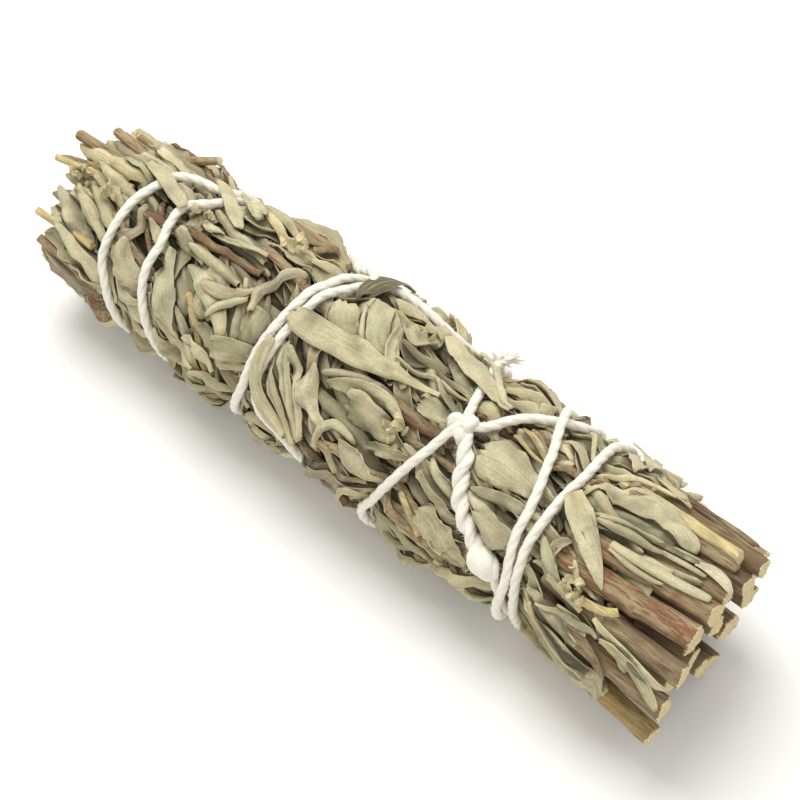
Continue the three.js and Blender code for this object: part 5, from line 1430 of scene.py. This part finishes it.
def twine_tree(cotton):
    """Twists plies round each spline and sets loose fibres on them."""
    tree = bpy.data.node_groups.new("twisted_twine", "GeometryNodeTree")
    face = tree.interface
    face.new_socket("Geometry", in_out="INPUT", socket_type="NodeSocketGeometry")
    for name, kind in (("Ply Radius", "Float"), ("Ply Offset", "Float"), ("Pitch", "Float"),
                       ("Plies", "Int"), ("Fuzz Density", "Float"), ("Seed", "Int")):
        face.new_socket(name, in_out="INPUT", socket_type=f"NodeSocket{kind}")
    face.new_socket("Geometry", in_out="OUTPUT", socket_type="NodeSocketGeometry")
    inside = add_node(tree, "NodeGroupInput").outputs
    copies = add_node(tree, "GeometryNodeDuplicateElements", {
        "Geometry": inside["Geometry"], "Amount": inside["Plies"]}, domain="SPLINE")
    along = add_node(tree, "GeometryNodeSplineParameter").outputs["Length"]
    turns = add_node(tree, "ShaderNodeMath", {0: along, 1: inside["Pitch"]}, operation="DIVIDE")
    share = add_node(tree, "ShaderNodeMath", {
        0: copies.outputs["Duplicate Index"], 1: inside["Plies"]}, operation="DIVIDE")
    turned = add_node(tree, "ShaderNodeMath", {0: turns, 1: share}, operation="ADD")
    spin = add_node(tree, "ShaderNodeMath", {0: turned, 1: math.tau}, operation="MULTIPLY")
    radius = add_node(tree, "GeometryNodeInputRadius")
    size = add_node(tree, "ShaderNodeMath", {0: radius, 1: inside["Ply Offset"]},
                    operation="MULTIPLY")
    normal = add_node(tree, "GeometryNodeInputNormal")
    across = add_node(tree, "ShaderNodeVectorMath", {
        0: add_node(tree, "GeometryNodeInputTangent"), 1: normal}, operation="CROSS_PRODUCT")
    parts = []
    for wave, way in (("COSINE", normal), ("SINE", across)):
        swing = add_node(tree, "ShaderNodeMath", {0: spin}, operation=wave)
        reach = add_node(tree, "ShaderNodeMath", {0: swing, 1: size}, operation="MULTIPLY")
        parts.append(add_node(tree, "ShaderNodeVectorMath", {0: way, "Scale": reach},
                              operation="SCALE"))
    offset = add_node(tree, "ShaderNodeVectorMath", {0: parts[0], 1: parts[1]}, operation="ADD")
    moved = add_node(tree, "GeometryNodeSetPosition", {"Geometry": copies, "Offset": offset})
    profile = add_node(tree, "GeometryNodeCurvePrimitiveCircle", {
        "Radius": inside["Ply Radius"], "Resolution": PLY_SIDES})
    plies = add_node(tree, "GeometryNodeCurveToMesh", {
        "Curve": moved, "Profile Curve": profile, "Scale": radius, "Fill Caps": True})
    smooth_plies = add_node(tree, "GeometryNodeSetShadeSmooth", {"Geometry": plies})
    scatter = add_node(tree, "GeometryNodeDistributePointsOnFaces", {
        "Mesh": plies, "Density": inside["Fuzz Density"], "Seed": inside["Seed"]})
    fibre = add_node(tree, "GeometryNodeMeshCone", {
        "Vertices": 3, "Side Segments": 1, "Radius Top": FIBRE_TIP * MM,
        "Radius Bottom": FIBRE_ROOT * MM, "Depth": FIBRE_LENGTH * MM})
    stretch = add_node(tree, "FunctionNodeRandomValue", {2: 0.35, 3: 1.25, "Seed": inside["Seed"]},
                       data_type="FLOAT")
    lean = add_node(tree, "FunctionNodeRandomValue", {
        0: (-1.15, -1.15, -1.0), 1: (1.15, 1.15, 1.0), "Seed": inside["Seed"]},
        data_type="FLOAT_VECTOR")
    leaning = add_node(tree, "FunctionNodeRotateRotation", {
        "Rotation": scatter.outputs["Rotation"], "Rotate By": lean}, rotation_space="LOCAL")
    fibres = add_node(tree, "GeometryNodeInstanceOnPoints", {
        "Points": scatter, "Instance": fibre, "Rotation": leaning, "Scale": stretch.outputs[1]})
    joined = add_node(tree, "GeometryNodeJoinGeometry", {"Geometry": smooth_plies})
    tree.links.new(fibres.outputs[0], joined.inputs[0])
    real = add_node(tree, "GeometryNodeRealizeInstances", {"Geometry": joined})
    painted_twine = add_node(tree, "GeometryNodeSetMaterial", {"Geometry": real, "Material": cotton})
    add_node(tree, "NodeGroupOutput", {0: painted_twine})
    return tree


def spline_object(name, paths):
    """A curve object of poly splines: (points, radius, closed) each."""
    data = bpy.data.curves.new(name, "CURVE")
    data.dimensions = "3D"
    for points, radius, closed in paths:
        spline = data.splines.new("POLY")
        spline.points.add(len(points) - 1)
        spline.points.foreach_set("co", np.hstack([points, np.ones((len(points), 1))]).ravel())
        spline.points.foreach_set("radius", np.full(len(points), radius))
        spline.use_cyclic_u = closed
    made = bpy.data.objects.new(name, data)
    bpy.context.scene.collection.objects.link(made)
    return made


def evened(points, step_mm):
    """The same path with its points at even steps."""
    walked = walked_along(points)
    count = max(4, int(walked[-1] / (step_mm * MM)))
    at = np.linspace(0, walked[-1], count + 1)
    return np.stack([np.interp(at, walked, points[:, k]) for k in range(3)], -1)


def twined_mesh(name, paths, settings, cotton):
    """Runs the node tree over the paths and keeps what it makes as a mesh."""
    source = spline_object(name + "_route", paths)
    tree = twine_tree(cotton)
    modifier = source.modifiers.new("twine", "NODES")
    modifier.node_group = tree
    ply_area = TWINE_STEP * MM * PLY_GIRTH * MM * settings.plies
    area = sum(len(points) for points, _, _ in paths) * ply_area
    wanted = {"Ply Radius": settings.ply_radius, "Ply Offset": settings.ply_offset,
              "Pitch": settings.pitch, "Plies": settings.plies,
              "Fuzz Density": settings.fuzz / area, "Seed": settings.seed}
    for item in tree.interface.items_tree:
        if item.item_type == "SOCKET" and item.in_out == "INPUT" and item.name in wanted:
            modifier[item.identifier] = wanted[item.name]
    graph = bpy.context.evaluated_depsgraph_get()
    mesh = bpy.data.meshes.new_from_object(source.evaluated_get(graph), depsgraph=graph)
    mesh.name = name
    bpy.data.objects.remove(source)
    places = np.empty(len(mesh.vertices) * 3)
    mesh.vertices.foreach_get("co", places)
    places[2::3] = np.maximum(places[2::3], TWINE_FLOOR_GAP * MM)
    mesh.vertices.foreach_set("co", places)
    piece = bpy.data.objects.new(name, mesh)
    bpy.context.scene.collection.objects.link(piece)
    return piece


# Operators


class SAGE_OT_packed_middle(bpy.types.Operator):
    """Make the dark packed middle under the leaves"""
    bl_idname = "sage.packed_middle"
    bl_label = "Packed middle"

    def execute(self, context):
        s = np.linspace(CORE_START, CORE_END, 90)
        a = np.linspace(0, 360, 96, endpoint=False)
        grid_s, grid_a = np.meshgrid(s, a, indexing="ij")
        rough = 0.25 * np.sin(grid_s * 1.9 + grid_a * 0.11) * np.sin(grid_a * 0.35 - grid_s * 0.3)
        rings = place(grid_s, grid_a, core_radius(grid_s, grid_a) + rough)
        rings[..., 2] = np.maximum(rings[..., 2], MIDDLE_FLOOR_GAP * MM)
        parts = MeshParts()
        parts.add(*closed_rings(rings))
        piece = parts.build("packed_middle")
        leaves = context.scene.sage_leaves
        made = material("packed_leaf_painted_shade", shaded_middle_material, leaves)
        dress(piece, made, "leaves", "leaf_bundle")
        return {"FINISHED"}


class SAGE_OT_leaves(bpy.types.Operator):
    """Lay all the leaves round the bundle, layer by layer"""
    bl_idname = "sage.leaves"
    bl_label = "Leaves"

    def execute(self, context):
        settings = context.scene.sage_leaves
        entries = draped_leaves()
        made = material("dry_sage_leaf", sage_leaf_material, settings)
        twigs = MeshParts()
        for layer, name in enumerate(LEAF_PIECES):
            parts = MeshParts()
            for entry in entries:
                if entry["layer"] == layer:
                    points, faces, values = leaf_shell(entry, settings.thickness, settings.curl)
                    goal = twigs if entry["form"] == "t" else parts
                    goal.add(points, faces, **values)
            dress(parts.build(name), made, "leaves", "leaf_bundle")
        draw = seeded_random(LEAF_SEED + 7)
        ends = MeshParts()
        for number in range(END_BLADES):
            points, faces, values = end_blade(number, draw)
            ends.add(points, faces, **values)
        dress(ends.build("far_leaf_ends"), made, "leaves", "leaf_bundle")
        bark = material("sage_stem_bark", bark_material, context.scene.sage_stems)
        dress(twigs.build("twigs_among_leaves"), bark, "stems", "leaf_bundle")
        return {"FINISHED"}


class SAGE_OT_buds(bpy.types.Operator):
    """Add the small curled flower buds"""
    bl_idname = "sage.buds"
    bl_label = "Flower buds"

    def execute(self, context):
        settings = context.scene.sage_leaves
        draped_leaves()
        draw = seeded_random(LEAF_SEED + 5)
        parts = MeshParts()
        for x, y, count in BUDS:
            s0, a0 = under_pixel(x, y)
            for _ in range(count):
                s = s0 + (draw() - 0.5) * 3.4
                a = a0 + (draw() - 0.5) * 3.4 / DEG_MM
                height = float(grid_at(kept["stack"], s, a) - grid_at(kept["mean"], s, a))
                r = float(envelope(np.array(s), np.array(a))) + min(1.2, height) + 0.3 * draw()
                points, faces = curled_bract(place(s, a, r), outward(np.array(float(a))), draw)
                parts.add(points, faces, tone=0.86 + 0.14 * draw(), edge=0.5, deep=0.0, along=0.6,
                          across=draw(), reach=0.5, tint=0.5)
        piece = parts.build("flower_buds")
        made = material("dry_sage_leaf", sage_leaf_material, settings)
        dress(piece, made, "leaves", "leaf_bundle")
        return {"FINISHED"}


class SAGE_OT_stems(bpy.types.Operator):
    """Make the cut stems and the twigs of the far end"""
    bl_idname = "sage.stems"
    bl_label = "Stems and twigs"

    def execute(self, context):
        made = material("sage_stem_bark", bark_material, context.scene.sage_stems)
        ends = settled_stems()
        cut_parts = MeshParts()
        for k, (_, end, _, _, radius, tone, red) in enumerate(CUT_STEMS):
            s = np.linspace(STEM_ROOT, end, STEM_ROWS)
            t = (s - STEM_ROOT) / (STEM_TIP - STEM_ROOT)
            y = ends[k, 1, 0] + (ends[k, 0, 0] - ends[k, 1, 0]) * t
            z = ends[k, 1, 1] + (ends[k, 0, 1] - ends[k, 1, 1]) * t
            points = np.stack([s + SHIFT_X, SHIFT_Y + WIDE * y, AXIS_HEIGHT + FLAT * z], -1) * MM
            taper = read_table(STEM_TAPER, np.linspace(0, 1, STEM_ROWS))
            radii = STEM_FULLNESS * radius * MM * taper
            *shell, values = rod_shell(points, radii, STEM_SEED + k, tone, red)
            cut_parts.add(*shell, **values)
        piece = cut_parts.build("cut_stems")
        dress(piece, made, "stems", *[row[0] for row in CUT_STEMS])
        twig_parts = MeshParts()
        for k, (_, tip, root, radius, tone) in enumerate(FAR_TWIGS):
            start = place(*root)
            stop = place(*tip)
            t = np.linspace(0, 1, TWIG_ROWS)
            points = start + (stop - start) * t[:, None]
            radii = radius * MM * (1 - 0.15 * t)
            *shell, values = rod_shell(points, radii, TWIG_SEED + k, tone, 0.0)
            twig_parts.add(*shell, **values)
        piece = twig_parts.build("far_twigs")
        dress(piece, made, "stems", *[row[0] for row in FAR_TWIGS])
        return {"FINISHED"}


class SAGE_OT_twine(bpy.types.Operator):
    """Wind the cotton twine round the bundle, with its knots and doubled cord"""
    bl_idname = "sage.twine"
    bl_label = "Twine"

    def execute(self, context):
        settings = context.scene.sage_twine
        cotton = material("cotton_twine", cotton_material, settings)
        twine_gap_grid()
        long_way, loop_way, cord_way = kept["routes"]
        loop_ridden = ridden_route(loop_way, np.zeros((3, 0)))
        long_ridden = ridden_route(long_way, loop_ridden[:, KNOT_STEPS:-KNOT_STEPS])
        cord_ridden = ridden_route(cord_way, long_ridden[:, :-KNOT_STEPS])
        paths = [(evened(twine_points(long_ridden), TWINE_STEP), 1.0, False),
                 (evened(twine_points(loop_ridden), TWINE_STEP), 1.0, False)]
        for strand in cord_strands(cord_ridden):
            paths.append((evened(strand, STRAND_STEP), STRAND_RADIUS_SCALE, False))
        paths.append((knot_points(MAIN_KNOT), KNOT_RADIUS_SCALE, True))
        paths.append(cotton_puff())
        paths.extend(frayed_end())
        piece = twined_mesh("cotton_twine_wrap", paths, settings, cotton)
        dress(piece, cotton, "twine", "twine")
        return {"FINISHED"}


class SAGE_OT_stage(bpy.types.Operator):
    """Set the floor, the soft studio light and the camera"""
    bl_idname = "sage.stage"
    bl_label = "Stage"

    def execute(self, context):
        settings = context.scene.sage_stage
        mesh = bpy.data.meshes.new("studio_floor")
        corners = [(x * FLOOR_HALF, y * FLOOR_HALF, 0) for x, y in ((-1, -1), (1, -1), (1, 1), (-1, 1))]
        mesh.from_pydata(corners, [], [(0, 1, 2, 3)])
        floor = bpy.data.objects.new("studio_floor", mesh)
        context.scene.collection.objects.link(floor)
        mesh.materials.append(floor_material(settings))
        world = bpy.data.worlds.new("soft_sky")
        world.use_nodes = True
        back = world.node_tree.nodes["Background"]
        back.inputs["Color"].default_value = SKY_COLOUR
        back.inputs["Strength"].default_value = settings.sky
        context.scene.world = world
        self.lamp(context, "key", KEY_PLACE, KEY_SIZE, settings.key_power)
        self.lamp(context, "fill", FILL_PLACE, FILL_SIZE, settings.key_power * FILL_SHARE)
        self.camera(context)
        context.scene.view_settings.view_transform = "Standard"
        return {"FINISHED"}

    def lamp(self, context, name, at, size, power):
        data = bpy.data.lights.new(name, "AREA")
        data.shape = "DISK"
        data.size = size
        data.energy = power
        lamp = bpy.data.objects.new(name, data)
        lamp.location = at
        aim = Vector(LAMP_AIM) - Vector(at)
        lamp.rotation_euler = aim.to_track_quat("-Z", "Y").to_euler()
        context.scene.collection.objects.link(lamp)

    def camera(self, context):
        toward, right, up, eye = view_frame()
        data = bpy.data.cameras.new("camera")
        data.sensor_width = SENSOR_MM
        data.lens = SENSOR_MM * VIEW_FOCAL_PIXELS / VIEW_SIZE
        data.clip_start = NEAREST_SEEN
        camera = bpy.data.objects.new("camera", data)
        turn = Matrix(np.stack([right, up, toward]).tolist()).transposed()
        camera.matrix_world = Matrix.Translation(Vector(eye * MM)) @ turn.to_4x4()
        context.scene.collection.objects.link(camera)
        context.scene.camera = camera


OPERATORS = (SAGE_OT_packed_middle, SAGE_OT_leaves, SAGE_OT_buds, SAGE_OT_stems, SAGE_OT_twine,
             SAGE_OT_stage)
SETTINGS = {"sage_leaves": SageLeafSettings, "sage_twine": SageTwineSettings,
            "sage_stems": SageStemSettings, "sage_stage": SageStageSettings}


class SAGE_PT_panel(bpy.types.Panel):
    """Sizes, colours and operators of the sage bunch"""
    bl_idname = "SAGE_PT_panel"
    bl_label = "Sage bunch"
    bl_space_type = "VIEW_3D"
    bl_region_type = "UI"
    bl_category = "Sage"

    def draw(self, context):
        for name, group in SETTINGS.items():
            box = self.layout.box()
            settings = getattr(context.scene, name)
            for field in group.__annotations__:
                box.prop(settings, field)
        for operator in OPERATORS:
            self.layout.operator(operator.bl_idname)


def register():
    for group in (*SETTINGS.values(), *OPERATORS, SAGE_PT_panel):
        bpy.utils.register_class(group)
    for name, group in SETTINGS.items():
        setattr(bpy.types.Scene, name, PointerProperty(type=group))


def unregister():
    for name in SETTINGS:
        delattr(bpy.types.Scene, name)
    for group in reversed((*SETTINGS.values(), *OPERATORS, SAGE_PT_panel)):
        bpy.utils.unregister_class(group)


def main():
    register()
    for operator in OPERATORS:
        group, name = operator.bl_idname.split(".")
        getattr(getattr(bpy.ops, group), name)()


if __name__ == "__main__":
    main()
